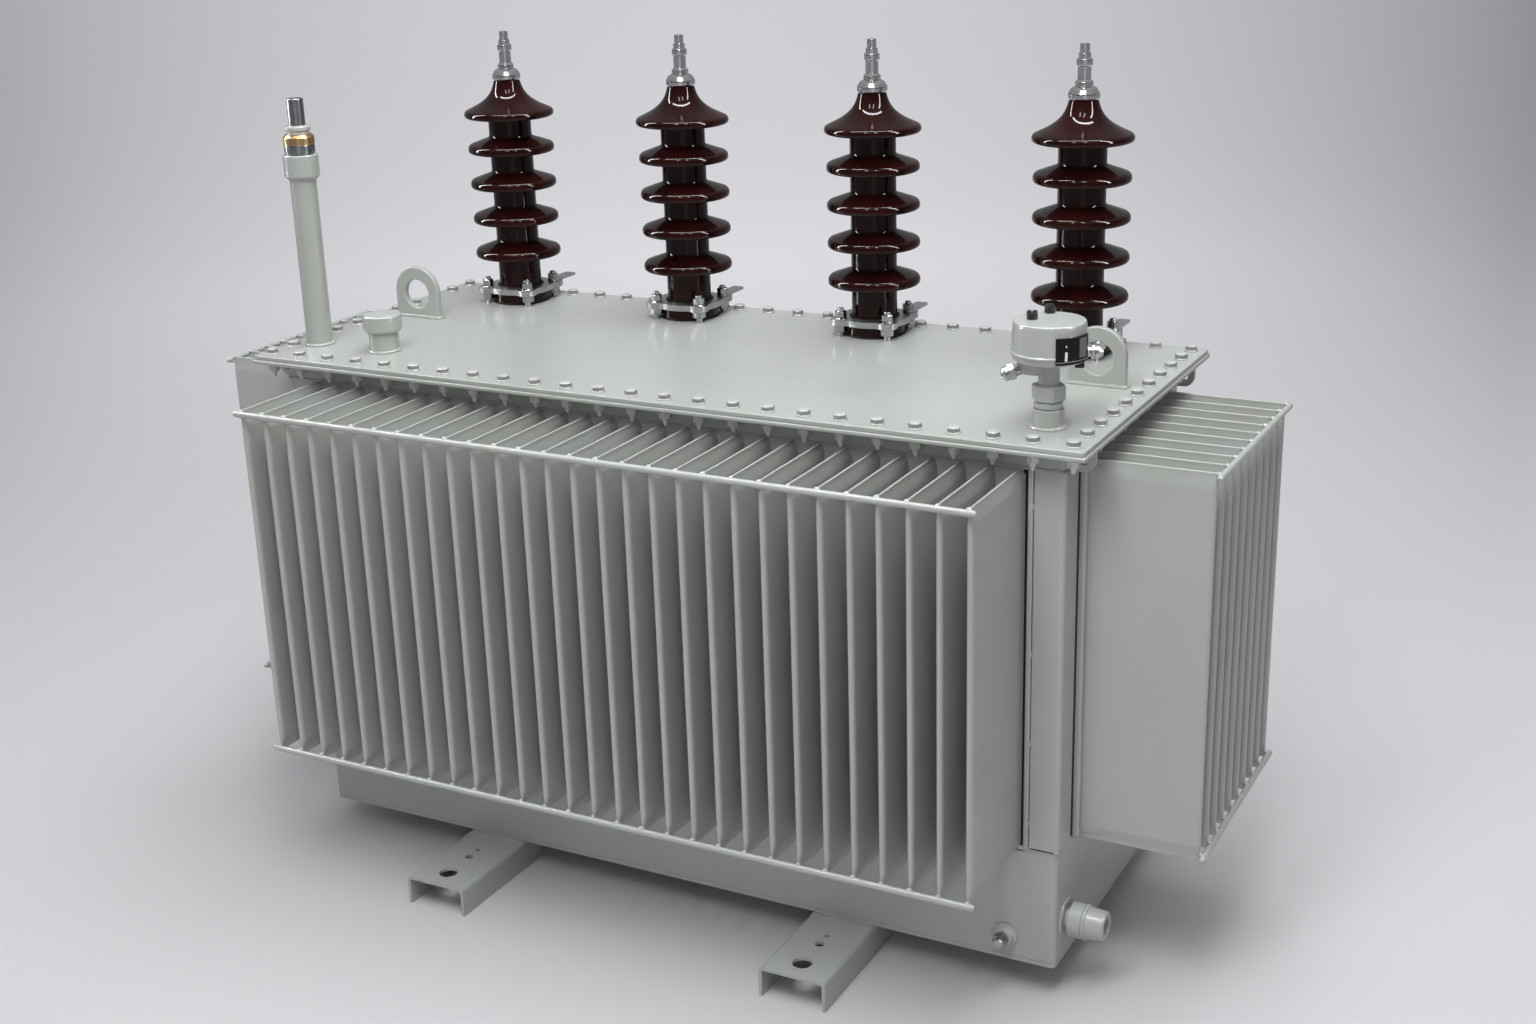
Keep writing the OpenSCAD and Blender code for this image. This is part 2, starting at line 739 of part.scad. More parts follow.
// One gland is on the terminal box under the drum, the other on the band round the drum's foot
module relay_glands() {
    box_gland_z = drum_z - box_h / 2;
    color(bare_metal) {
        on_relay(box_gland_z) rotate([0, 0, box_dir]) translate([box_off, 0, 0])
            rotate([0, 0, gland_dir - box_dir]) gland(box_d / 2);
        on_relay(drum_z + side_gland_z) rotate([0, 0, side_gland_dir]) gland(drum_d / 2 + drum_band);
    }
}

// A gland along +X that starts flush on a round wall of radius wall_r
module gland(wall_r) {
    shank_d = gland_d * 0.62;
    start = sqrt(wall_r * wall_r - shank_d * shank_d / 4);
    rotate([0, 90, 0]) difference() {
        union() {
            translate([0, 0, start]) cylinder(d = shank_d, h = gland_l);
            translate([0, 0, wall_r + gland_l / 3]) cylinder(d = gland_d, h = gland_l * 2 / 3, $fn = 6);
        }
        rotate([0, -90, 0]) cylinder(r = wall_r + seat_gap, h = 2 * gland_d, center = true);
    }
}

// Drain valve on the right end of the skirt, and earth terminal on its front
module drain_valve() {
    body_z = drain_plate_t + drain_neck[1];
    ring_z = body_z + drain_body[1];
    cap_z = ring_z + drain_ring[1];
    end_z = cap_z + drain_cap[2];
    edge = 3;
    color(paint) translate([tank_l / 2, drain_y - tank_w / 2, drain_z]) rotate([0, 90, 0]) difference() {
        rotate_extrude() {
            square([drain_plate_d / 2, drain_plate_t]);
            square([drain_neck[0] / 2, body_z + bite]);
            translate([0, body_z]) square([drain_body[0] / 2, drain_body[1]]);
            translate([0, ring_z]) square([drain_ring[0] / 2, drain_ring[1]]);
            polygon([[0, cap_z - bite], [drain_cap[0] / 2, cap_z - bite], [drain_cap[0] / 2, cap_z],
                     [drain_cap[1] / 2, end_z - edge], [drain_cap[1] / 2 - edge, end_z], [0, end_z]]);
        }
        translate([0, 0, end_z - drain_bore_l]) cylinder(d = drain_bore_d, h = drain_bore_l + bite);
    }
}

module earth_terminal() {
    boss_z = earth_disc[1];
    stud_z = boss_z + earth_boss[1];
    color(paint) translate([tank_l / 2 - earth_x, -tank_w / 2, earth_z]) rotate([90, 0, 0]) {
        cylinder(d = earth_disc[0], h = boss_z);
        cylinder(d = earth_boss[0], h = stud_z);
        cylinder(d = earth_stud[0], h = stud_z + earth_stud[1]);
    }
}

skid(-1);  // skid_left
skid(1);  // skid_right
tank_floor();
tank_skirt();
corner_posts();
long_fin_wall(0);  // fin_wall_front
end_fin_wall(1);  // fin_wall_right
long_fin_wall(2);  // fin_wall_back
end_fin_wall(3);  // fin_wall_left
long_fin_rails(0);  // fin_rails_front
end_fin_rails(1);  // fin_rails_right
long_fin_rails(2);  // fin_rails_back
end_fin_rails(3);  // fin_rails_left
tank_rim();
tank_flange();
cover();
lifting_lug(-1);  // lifting_lug_left
lifting_lug(1);  // lifting_lug_right
lashing_eyes();
insulator(1);  // insulator_1
insulator(2);  // insulator_2
insulator(3);  // insulator_3
insulator(4);  // insulator_4
bushing_clamp(1);  // bushing_clamp_1
bushing_clamp(2);  // bushing_clamp_2
bushing_clamp(3);  // bushing_clamp_3
bushing_clamp(4);  // bushing_clamp_4
terminal(1);  // terminal_1
terminal(2);  // terminal_2
terminal(3);  // terminal_3
terminal(4);  // terminal_4
filler_pipe();
pipe_coupling();
pipe_steel_ring();
pipe_brass_ring();
pipe_collar();
pipe_stem();
filler_neck();
filler_cap();
relay_socket();
relay_nut();
relay_drum();
relay_window();
relay_knobs();
relay_glands();
drain_valve();
earth_terminal();
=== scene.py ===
"""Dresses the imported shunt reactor: a finned steel tank with a bolted cover and four bushings."""
import math
import random

import bmesh
import bpy
from mathutils import Matrix, Vector


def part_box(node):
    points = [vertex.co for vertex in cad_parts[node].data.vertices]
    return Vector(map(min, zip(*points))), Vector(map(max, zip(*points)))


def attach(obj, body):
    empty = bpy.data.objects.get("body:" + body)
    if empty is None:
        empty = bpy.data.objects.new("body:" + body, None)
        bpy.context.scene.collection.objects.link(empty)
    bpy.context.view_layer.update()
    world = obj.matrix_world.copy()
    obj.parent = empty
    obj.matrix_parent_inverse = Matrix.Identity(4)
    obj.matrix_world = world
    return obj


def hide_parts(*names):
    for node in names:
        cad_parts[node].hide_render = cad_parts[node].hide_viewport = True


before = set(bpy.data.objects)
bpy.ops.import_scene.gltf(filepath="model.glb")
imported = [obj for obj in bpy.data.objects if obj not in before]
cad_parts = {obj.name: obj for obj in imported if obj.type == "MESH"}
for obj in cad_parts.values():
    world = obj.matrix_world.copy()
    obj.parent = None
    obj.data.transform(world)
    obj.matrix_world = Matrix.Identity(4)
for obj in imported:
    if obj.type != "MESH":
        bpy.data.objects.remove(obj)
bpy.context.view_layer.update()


# Camera
# It stands before the tank's front right corner, above the bushing tops, with a long lens that
# looks down a little. Place, aim and roll were fitted to the tank's edges in the photograph.
def direction(bearing, climb):
    """The way out from the tank at a bearing from its front and a climb from level."""
    return Vector((math.sin(bearing) * math.cos(climb),
                   -math.cos(bearing) * math.cos(climb),
                   math.sin(climb)))


focal_length = 46.1
film_width = 36.0
stand = Vector((1.6959, -3.0058, 1.8484))
azimuth = math.radians(28.16)
elevation = math.radians(18.94)
roll = math.radians(-1.75)
backward = direction(azimuth, elevation)
forward = Vector((-math.sin(azimuth), math.cos(azimuth), 0.0))
level = Vector((math.cos(azimuth), math.sin(azimuth), 0.0))
upright = backward.cross(level)
across_film = math.cos(roll) * level + math.sin(roll) * upright
up_film = math.cos(roll) * upright - math.sin(roll) * level
lens = bpy.data.cameras.new("photo_lens")
lens.lens = focal_length
lens.sensor_width = film_width
camera = bpy.data.objects.new("photo_camera", lens)
aim = Matrix((across_film, up_film, backward)).transposed().to_4x4()
camera.matrix_world = Matrix.Translation(stand) @ aim
scene = bpy.context.scene
scene.collection.objects.link(camera)
scene.camera = camera
scene.view_settings.view_transform = "Standard"


# Floor and studio light
# A matt pale floor runs on out of sight. Far off it glows with painted light, brightest straight ahead
# and fading so that it is a little darker to both sides. Soft panels light the tank under a dim ceiling,
# and narrow lamps draw the streaks on the glaze, the enamel and the metal.
class Socket:
    """An output socket that Python's operators can reckon with: each of them adds a Math node."""

    def __init__(self, tree, output=None):
        self.tree = tree
        self.output = output

    def node(self, kind, settings=None, sockets=None, output=0):
        """Adds a node of one kind, makes its settings, then fills or links its sockets."""
        made = self.tree.nodes.new(kind)
        for name, value in (settings or {}).items():
            setattr(made, name, value)
        for name, value in (sockets or {}).items():
            socket = made.inputs[name]
            if isinstance(value, Socket):
                self.tree.links.new(value.output, socket)
            else:
                socket.default_value = (*value, 1.0) if socket.type == "RGBA" else value
        return Socket(self.tree, made.outputs[output])

    def reckon(self, operation, first, second):
        """What a Math node makes of two values or sockets."""
        return self.node("ShaderNodeMath", {"operation": operation}, {0: first, 1: second})

    def __add__(self, other):
        return self.reckon("ADD", self, other)

    def __radd__(self, other):
        return self.reckon("ADD", other, self)

    def __sub__(self, other):
        return self.reckon("SUBTRACT", self, other)

    def __rsub__(self, other):
        return self.reckon("SUBTRACT", other, self)

    def __mul__(self, other):
        return self.reckon("MULTIPLY", self, other)

    def __rmul__(self, other):
        return self.reckon("MULTIPLY", other, self)

    def __truediv__(self, other):
        return self.reckon("DIVIDE", self, other)

    def __rtruediv__(self, other):
        return self.reckon("DIVIDE", other, self)

    def __pow__(self, other):
        return self.reckon("POWER", self, other)

    def __rpow__(self, other):
        return self.reckon("POWER", other, self)

    def blend(self, first, second):
        """A colour between two colours, by this socket's value."""
        return self.node("ShaderNodeMix", {"data_type": "RGBA"}, {0: self, 6: first, 7: second}, output=2)

    def ease(self, low, high):
        """This socket's value brought to 0 at low and 1 at high, with soft ends."""
        return self.node("ShaderNodeMapRange", {"interpolation_type": "SMOOTHSTEP"},
                         {"Value": self, "From Min": low, "From Max": high})

    def along(self, way):
        """How far this vector reaches in a direction."""
        return self.node("ShaderNodeVectorMath", {"operation": "DOT_PRODUCT"},
                         {0: self, 1: tuple(way)}, output="Value")


mm = 0.001


def new_finish(name, fixed):
    """A material with some sockets of its shader fixed, and a bare socket to build the rest from."""
    material = bpy.data.materials.new(name)
    material.use_nodes = True
    shader = material.node_tree.nodes["Principled BSDF"]
    for socket, value in fixed.items():
        shader.inputs[socket].default_value = value
    return material, shader, Socket(material.node_tree)


def lumps(start, size, detail=2.0, stretch=(1.0, 1.0, 1.0)):
    """Noise from 0 to 1 with lumps of about that size in metres, longer along a stretched axis."""
    place = start.node("ShaderNodeTexCoord", output="Object")
    scale = tuple(1 / (size * share) for share in stretch)
    scaled = start.node("ShaderNodeVectorMath", {"operation": "MULTIPLY"}, {0: place, 1: scale})
    return start.node("ShaderNodeTexNoise", sockets={"Vector": scaled, "Scale": 1.0, "Detail": detail})


def lay_finish(shader, color, roughness, relief, depth=0.1 * mm):
    """Links what changes over a surface: its colour, its roughness and the relief of its skin."""
    links = shader.id_data.links
    links.new(color.output, shader.inputs["Base Color"])
    links.new(roughness.output, shader.inputs["Roughness"])
    bump = relief.node("ShaderNodeBump", sockets={"Strength": 1.0, "Distance": depth, "Height": relief})
    links.new(bump.output, shader.inputs["Normal"])


floor_radius = 80.0
floor_color = (0.580, 0.577, 0.598)
floor_patch = tuple(0.985 * part for part in floor_color)
far_glow = (0.43, 0.428, 0.446)
glow_start = 0.5
glow_full = 6.0
fan_shift = 0.03
fan_fall = 4.5
fan_least = 0.2
matt_floor, floor_shader, bare = new_finish("matt_floor",
                                            {"Specular IOR Level": 0.1, "Emission Strength": 1.0})
place = bare.node("ShaderNodeTexCoord", output="Object")
ahead = place.along(forward) - stand.dot(forward)
aside = (place.along(level) - stand.dot(level)) / ahead + fan_shift
from_tank = bare.node("ShaderNodeVectorMath", {"operation": "LENGTH"}, {0: place}, output="Value")
in_the_fan = bare.reckon("MAXIMUM", 1.0 - fan_fall * aside ** 2.0, fan_least)
path_kind = [bare.node("ShaderNodeLightPath", output=kind)
             for kind in ("Is Camera Ray", "Is Glossy Ray", "Is Transmission Ray")]
seen = path_kind[0] + path_kind[1] + path_kind[2]
# Painted light: far from the tank the floor glows for camera, glossy and transmission rays, in a fan that
# fades to both sides.
lit_far = in_the_fan * from_tank.ease(glow_start, glow_full) * seen
lay_finish(floor_shader, color=lumps(bare, 0.6).blend(floor_color, floor_patch),
           roughness=0.85 + 0.1 * lumps(bare, 0.4), relief=lumps(bare, 2.5 * mm))
distant_light = lit_far.blend((0.0, 0.0, 0.0), far_glow)
floor_shader.id_data.links.new(distant_light.output, floor_shader.inputs["Emission Color"])
disc = bmesh.new()
bmesh.ops.create_circle(disc, cap_ends=True, radius=floor_radius, segments=96)
floor_mesh = bpy.data.meshes.new("studio_floor")
disc.to_mesh(floor_mesh)
floor_mesh.materials.append(matt_floor)
studio_floor = bpy.data.objects.new("studio_floor", floor_mesh)
scene.collection.objects.link(studio_floor)

dark_front = (0.03, 0.03, 0.032)
pale_back = (0.29, 0.29, 0.30)
ceiling_glow = (0.40, 0.40, 0.41)
studio = bpy.data.worlds.new("studio")
studio.use_nodes = True
scene.world = studio
sky = Socket(studio.node_tree)
facing = sky.node("ShaderNodeTexCoord", output="Generated")
height = sky.node("ShaderNodeSeparateXYZ", sockets={0: facing}, output="Z")
wall_glow = facing.along(forward).ease(-0.3, 0.5).blend(dark_front, pale_back)
glow = height.ease(0.15, 0.9).blend(wall_glow, ceiling_glow)
studio.node_tree.links.new(glow.output, studio.node_tree.nodes["Background"].inputs["Color"])

lamp_distance = 4.2
lamp_aim = Vector((0.0, 0.0, 0.9))
watts_per_area = 4
# Each lamp: degrees from the camera, degrees up, width and height in metres, brightness
panels = ((-24, 50, 0.9, 2.0, 9.5), (2, 55, 0.9, 1.6, 8.4), (0, 14, 1.6, 0.8, 3.0),
          (62, 80, 3.0, 3.0, 3.4), (150, 55, 2.0, 2.0, 1.6))
windows = ((-20, 58, 0.26, 1.2, 24.0), (14, 58, 0.26, 1.2, 24.0))
strips = ((-103, 27, 0.34, 4.2, 42.0), (60, 33, 0.34, 3.8, 42.0), (0, 88, 4.4, 0.34, 42.0))
# The strips are for glaze and enamel. Polished metal would only glare in them, so they pass it by.
glare_free = bpy.data.collections.new("glare_free")
for number, (turn, rise, wide, tall, brightness) in enumerate(panels + windows + strips, 1):
    towards = direction(azimuth + math.radians(turn), math.radians(rise))
    source = bpy.data.lights.new("lamp_%d" % number, "AREA")
    source.shape = "RECTANGLE"
    source.size = wide
    source.size_y = tall
    source.energy = brightness * watts_per_area * wide * tall
    lamp = bpy.data.objects.new(source.name, source)
    lamp.matrix_world = (Matrix.Translation(lamp_aim + lamp_distance * towards)
                         @ towards.to_track_quat("Z", "Y").to_matrix().to_4x4())
    lamp.visible_camera = False
    lamp.visible_diffuse = number <= len(panels)
    lamp.visible_glossy = not lamp.visible_diffuse
    if number > len(panels + windows):
        lamp.light_linking.receiver_collection = glare_free
    scene.collection.objects.link(lamp)


# Skid channels
# Two channels folded from 6 mm steel plate carry the tank and are drilled near their ends for
# anchor and lashing bolts. They are painted with the tank. Its enamel is painted paler on faces
# that look up, as painted light from above, and mottled at random.
def upward(start):
    """How far a surface faces up, from -1 to 1."""
    facing = start.node("ShaderNodeNewGeometry", output="Normal")
    return start.node("ShaderNodeSeparateXYZ", sockets={0: facing}, output="Z")


enamel_pale = (0.428, 0.450, 0.434)
enamel_deep = (0.378, 0.396, 0.366)
enamel, enamel_shader, bare = new_finish("grey_enamel", {"Coat Weight": 0.3, "Coat Roughness": 0.12})
# Painted light: half of the enamel's colour mix makes upward faces paler; the other half is random mottling.
top_light_and_mottle = 0.5 * upward(bare).ease(0.1, 0.9) + 0.5 * lumps(bare, 0.22, 3.0).ease(0.3, 0.7)
lay_finish(enamel_shader,
           color=top_light_and_mottle.blend(enamel_deep, enamel_pale),
           roughness=0.27 + 0.14 * lumps(bare, 0.05, 3.0),
           relief=0.75 * lumps(bare, 0.045, 1.0) + 0.25 * lumps(bare, 3.5 * mm, 1.0),
           depth=0.16 * mm)


def close_mesh(shape, name, crease=math.radians(38)):
    """Turns a built shape into a mesh that is smooth but for its sharp edges."""
    bmesh.ops.recalc_face_normals(shape, faces=shape.faces)
    for face in shape.faces:
        face.smooth = True
    for edge in shape.edges:
        edge.smooth = len(edge.link_faces) == 2 and edge.calc_face_angle() < crease
    mesh = bpy.data.meshes.new(name)
    shape.to_mesh(mesh)
    shape.free()
    return mesh


def fit_piece(name, shape, finish, slot, *nodes):
    """Puts a finished piece on the tank, in the place of the plain nodes that it stands for."""
    mesh = close_mesh(shape, name)
    mesh.materials.append(finish)
    made = bpy.data.objects.new(name, mesh)
    scene.collection.objects.link(made)
    made.modifiers.new("flat_faces_stay_flat", "WEIGHTED_NORMAL").keep_sharp = True
    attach(made, "root")
    if nodes:
        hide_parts(*nodes)
    return made


def eased(node, width, steps=2):
    """A copy of a node's shape with its flat facets joined and its sharp edges rounded."""
    shape = bmesh.new()
    shape.from_mesh(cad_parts[node].data)
    bmesh.ops.remove_doubles(shape, verts=shape.verts, dist=0.02 * mm)
    bmesh.ops.dissolve_limit(shape, angle_limit=math.radians(0.4), verts=shape.verts, edges=shape.edges)
    sharp = [edge for edge in shape.edges
             if len(edge.link_faces) == 2 and edge.calc_face_angle() > math.radians(40)]
    bmesh.ops.bevel(shape, geom=sharp, offset=width, segments=steps, profile=0.5, affect="EDGES",
                    clamp_overlap=True)
    return shape


def angles(count):
    """Angles spread evenly over a whole turn."""
    return [math.tau * k / count for k in range(count)]


def skin(shape, rings, capped=True):
    """Joins each ring of points to the next one by faces, and closes the first and the last."""
    for first, second in zip(rings, rings[1:]):
        for k in range(len(first)):
            following = (k + 1) % len(first)
            shape.faces.new((first[k], first[following], second[following], second[k]))
    if capped:
        shape.faces.new(rings[0])
        shape.faces.new(rings[-1])


def rod(shape, path, radii, sides, closed=False):
    """Sweeps a round section along a path, with a radius for each of its points."""
    count = len(path)
    rings = []
    side = None
    for i, point in enumerate(path):
        before = path[i - 1] if closed or i > 0 else point
        after = path[(i + 1) % count] if closed or i < count - 1 else point
        heading = (after - before).normalized()
        side = heading.orthogonal() if side is None else side - heading * side.dot(heading)
        side.normalize()
        other = heading.cross(side)
        rings.append([shape.verts.new(point + radii[i] * (math.cos(turn) * side + math.sin(turn) * other))
                      for turn in angles(sides)])
    skin(shape, rings + rings[:1] if closed else rings, capped=not closed)


weld_chance = random.Random(7)


def weld(shape, path, size, closed=False):
    """Lays a weld bead of about that width along a path, as uneven as one made by hand."""
    points = []
    for first, second in zip(path, path[1:] + path[:1] if closed else path[1:]):
        count = max(1, round((second - first).length / (0.6 * size)))
        points += [first.lerp(second, k / count) for k in range(count)]
    if not closed:
        points.append(path[-1])
    stray = 0.09 * size
    points = [point + Vector([weld_chance.uniform(-stray, stray) for axis in "xyz"]) for point in points]
    radii = [size * (0.46 + weld_chance.uniform(-0.10, 0.13)) for point in points]
    if not closed:
        radii[0] *= 0.6
        radii[-1] *= 0.6
    rod(shape, points, radii, 8, closed)


skid_edge = 1.2 * mm
skid_weld = 5 * mm
skid_weld_inset = 8 * mm
tank_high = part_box("tank_skirt")[1]
floor_low, floor_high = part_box("tank_floor")
skid_welds = bmesh.new()
for side in ("left", "right"):
    fit_piece(side + "_skid", eased("skid_" + side, skid_edge), enamel, "paint", "skid_" + side)
    low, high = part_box("skid_" + side)
    for wall in (floor_low.y - 1 * mm, floor_high.y + 1 * mm):
        ends = (low.x + skid_weld_inset, high.x - skid_weld_inset)
        weld(skid_welds, [Vector((x, wall, floor_low.z + 1.5 * mm)) for x in ends], skid_weld)
fit_piece("skid_welds", skid_welds, enamel, "paint")

# Tank floor and skirt
# The floor plate closes the tank, and the plain skirt of 6 mm sheet stands on it, bent round at
# the corners, up to the cooling walls. Both are welded all round.
floor_edge = 1.0 * mm
skirt_edge = 1.2 * mm
fit_piece("floor_plate", eased("tank_floor", floor_edge), enamel, "paint", "tank_floor")
fit_piece("skirt", eased("tank_skirt", skirt_edge), enamel, "paint", "tank_skirt")


# Corner posts
# Each is a bent plate that stands on the skirt's edge and closes the corner between two cooling
# walls. A flat strip tacked to its front and a bar on its side frame the walls. Black strips in the
# gaps beside them and a thin black ring under the post's foot are painted shadow.
def softened(corners, closed=False, steps=4):
    """Replaces each corner (x, y, radius) of an outline by an arc of that radius."""
    outline = []
    count = len(corners)
    for i, (x, y, radius) in enumerate(corners):
        if radius == 0 or (not closed and i in (0, count - 1)):
            outline.append((x, y))
            continue
        here = Vector((x, y))
        back = Vector(corners[i - 1][:2]) - here
        ahead = Vector(corners[(i + 1) % count][:2]) - here
        half = back.angle(ahead) / 2
        reach = min(radius / math.tan(half), 0.49 * back.length, 0.49 * ahead.length)
        back.normalize()
        ahead.normalize()
        middle = here + (back + ahead).normalized() * reach / math.cos(half)
        start = here + back * reach - middle
        sweep = start.angle_signed(here + ahead * reach - middle)
        for k in range(steps + 1):
            outline.append(tuple(middle + Matrix.Rotation(-sweep * k / steps, 2) @ start))
    return outline


def plate(shape, loops, low, high, edge, place=Matrix()):
    """A flat plate between two heights: the first loop is its outline, anticlockwise, the others
    are holes, clockwise. All its edges are rounded by the same small radius."""
    steps = ((1.0, 0.0), (0.4, 0.12), (0.12, 0.4), (0.0, 1.0))
    levels = [(inset * edge, low + rise * edge) for inset, rise in steps]
    levels += [(inset * edge, high - rise * edge) for inset, rise in reversed(steps)]
    caps = ([], [])
    for loop in loops:
        corners = [Vector(point) for point in loop]
        pulls = []
        for i, here in enumerate(corners):
            first = (here - corners[i - 1]).normalized()
            second = (corners[(i + 1) % len(corners)] - here).normalized()
            inward = (Vector((-first.y, first.x)), Vector((-second.y, second.x)))
            pulls.append((inward[0] + inward[1]) / (1 + max(-0.5, inward[0].dot(inward[1]))))
        rings = []
        for inset, height in levels:
            spots = [here + pull * inset for here, pull in zip(corners, pulls)]
            rings.append([shape.verts.new(place @ Vector((spot.x, spot.y, height))) for spot in spots])
        skin(shape, rings, capped=False)
        for cap, ring in zip(caps, (rings[0], rings[-1])):
            cap += [shape.edges.get((ring[k - 1], ring[k])) for k in range(len(ring))]
    for cap in caps:
        bmesh.ops.triangle_fill(shape, edges=cap, use_beauty=True, use_dissolve=False)


def rectangle(left, low, right, high):
    """The corners of a rectangle, anticlockwise."""
    return (left, low), (right, low), (right, high), (left, high)


def mottled(name, fixed, dark, pale, patch, gloss, grain, bumps, depth, detail=2.0):
    """A finish with lumps of three sizes: patches of colour, a grain in its gloss, and bumps."""
    finish, shader, bare = new_finish(name, fixed)
    lay_finish(shader, color=lumps(bare, patch, detail).blend(dark, pale),
               roughness=gloss[0] + gloss[1] * lumps(bare, grain, detail),
               relief=lumps(bare, bumps), depth=depth)
    return finish


post_low, post_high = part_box("corner_posts")
post_foot = 7 * mm
post_sheet = 6 * mm
post_front = 51 * mm
post_side = 58 * mm
post_bend = 9 * mm
post_proud = 2 * mm
strip_wide = 9 * mm
strip_proud = 2 * mm
strip_gap = 1.2 * mm
bar_wide = 11 * mm
bar_proud = 14 * mm
bar_gap = 11 * mm
slit_wide = 8 * mm
foot_shadow_proud = 2.5 * mm
collar_proud = 0.2 * mm
collar_front = post_front + 8 * mm
collar_side = post_side + 18 * mm
tack_long = 9 * mm
tack_size = 4.5 * mm
tack_shares = (0.06, 0.28, 0.52, 0.9)
foot_weld = 5 * mm
foot_weld_half = Vector((4 * mm, 0, 0))


def bent_corner(shape, out_x, out_y, front, side, low, high, edge, place):
    """A plate bent round a corner of the tank, as wide as given on its front and on its side."""
    outline = [(out_x - front, out_y - post_sheet, 1 * mm), (out_x - post_sheet, out_y - post_sheet, 4 * mm),
               (out_x - post_sheet, out_y - side, 1 * mm), (out_x, out_y - side, 1 * mm),
               (out_x, out_y, post_bend), (out_x - front, out_y, 1 * mm)]
    plate(shape, [softened(outline, closed=True)], low, high, edge, place)


post_bottom = post_low.z + post_foot
out_x = post_high.x + post_proud
out_y = post_high.y + post_proud
strip_end = out_x - post_front - strip_gap
strip_start = strip_end - strip_wide
strip = [(strip_start, out_y - post_sheet, 0), (strip_end, out_y - post_sheet, 0),
         (strip_end, out_y + strip_proud, 2.5 * mm), (strip_start, out_y + strip_proud, 3 * mm)]
bar_end = out_y - post_side - bar_gap
bar_start = bar_end - bar_wide
bar_out = tank_high.x + bar_proud
side_bar = [(tank_high.x - post_sheet, bar_start, 0), (bar_out, bar_start, 3 * mm),
            (bar_out, bar_end, 6 * mm), (tank_high.x - post_sheet, bar_end, 0)]
slit = rectangle(strip_start - slit_wide, tank_high.y - post_sheet,
                 strip_start + 1 * mm, tank_high.y + 1.2 * mm)
side_gap_shadow = rectangle(out_x - post_sheet, bar_end - 2 * mm, out_x - 0.5 * mm, out_y - post_side + 0.5 * mm)
foot_line = ((strip_end, out_y - 1.5 * mm), (out_x - 4 * mm, out_y - 1.5 * mm),
             (out_x - 2 * mm, out_y - 0.6 * post_side))
quarters = ((-1, -1), (-1, 1), (1, -1), (1, 1))
posts = bmesh.new()
borders = bmesh.new()
painted_shadow_strips = bmesh.new()
post_welds = bmesh.new()
for mirror_x, mirror_y in quarters:
    corner = Matrix.Diagonal((mirror_x, mirror_y, 1.0, 1.0))
    bent_corner(posts, out_x, out_y, post_front, post_side, post_bottom, post_high.z, 1.2 * mm, corner)
    bent_corner(borders, tank_high.x + collar_proud, tank_high.y + collar_proud, collar_front, collar_side,
                post_low.z - 3 * mm, post_bottom + 20 * mm, 0.1 * mm, corner)
    plate(borders, [softened(strip, closed=True)], post_bottom, post_high.z, 1 * mm, corner)
    plate(borders, [softened(side_bar, closed=True)], post_bottom, post_high.z, 1.5 * mm, corner)
    # Painted shadow: a thin black ring at the post's foot and black strips in the front slit and the side
    # gap.
    bent_corner(painted_shadow_strips, tank_high.x + foot_shadow_proud, tank_high.y + foot_shadow_proud, post_front, post_side,
                post_bottom - 2.5 * mm, post_bottom + 2 * mm, 0.2 * mm, corner)
    for gap in (slit, side_gap_shadow):
        plate(painted_shadow_strips, [gap], post_bottom + 1 * mm, post_high.z, 0.3 * mm, corner)
    for share in tack_shares:
        tack_height = post_bottom + share * (post_high.z - post_bottom)
        tack = corner @ Vector((strip_end, out_y + 0.5 * mm, tack_height))
        weld(post_welds, [tack, tack + Vector((0, 0, tack_long))], tack_size)
    for x, y in foot_line:
        spot = corner @ Vector((x, y, post_bottom))
        weld(post_welds, [spot - foot_weld_half, spot + foot_weld_half], foot_weld)
fit_piece("posts", posts, enamel, "paint", "corner_posts")
fit_piece("wall_borders", borders, enamel, "paint")
# A black rubber finish, for the real gaskets and for the painted shadow strips.
gasket_and_shadow_black = mottled("black_gasket_and_shadow", {"Specular IOR Level": 0.2}, (0.006, 0.006, 0.006), (0.014, 0.014, 0.014),
                 patch=4 * mm, gloss=(0.5, 0.2), grain=2 * mm, bumps=1 * mm, depth=0.05 * mm)
fit_piece("painted_shadow_strips", painted_shadow_strips, gasket_and_shadow_black, "black_plastic")
fit_piece("post_welds", post_welds, enamel, "paint")

# Cooling walls
# Thin sheet is folded into deep hollow fins that the oil flows through. Each fin is pressed flat
# and welded shut along its top and bottom, so it narrows there to a seam two sheets thick.
fin_half = 5.8 * mm
nose_reach = 9 * mm
seam_half = 2.0 * mm
seam_round = 2.0 * mm
seam_height = 5 * mm
pinch_height = 26 * mm
pinch_at_wall = 12 * mm
pinch_fade = 50 * mm
bend = 2.5 * mm
fin_root = 4 * mm
root_middle = 1.2 * mm
fin_belly = 0.5 * mm
seam_stray = 0.6 * mm
sheet_back = 6 * mm
sheet_lap = 2 * mm
sheet_drop = 4 * mm
fin_chance = random.Random(11)
end_steps = [0.0, 0.4 * mm, 1.1 * mm, seam_height - bend, seam_height, seam_height + bend, 10 * mm, 13 * mm,
             16 * mm, 20 * mm, pinch_height - bend, pinch_height, pinch_height + bend, 34 * mm]
nose_steps = 10
seam_waves = 9.0


def swelling(nearest, reach):
    """How far a fin is open, from 0 in its pressed seam to 1, at a height over its end and a depth."""
    share = min(1.0, reach / pinch_fade)
    top = pinch_at_wall + (pinch_height - pinch_at_wall) * share
    rise = min(1.0, max(0.0, (nearest - seam_height) / (top - seam_height)))
    return 0.75 * rise + 0.25 * rise * rise * (3 - 2 * rise)


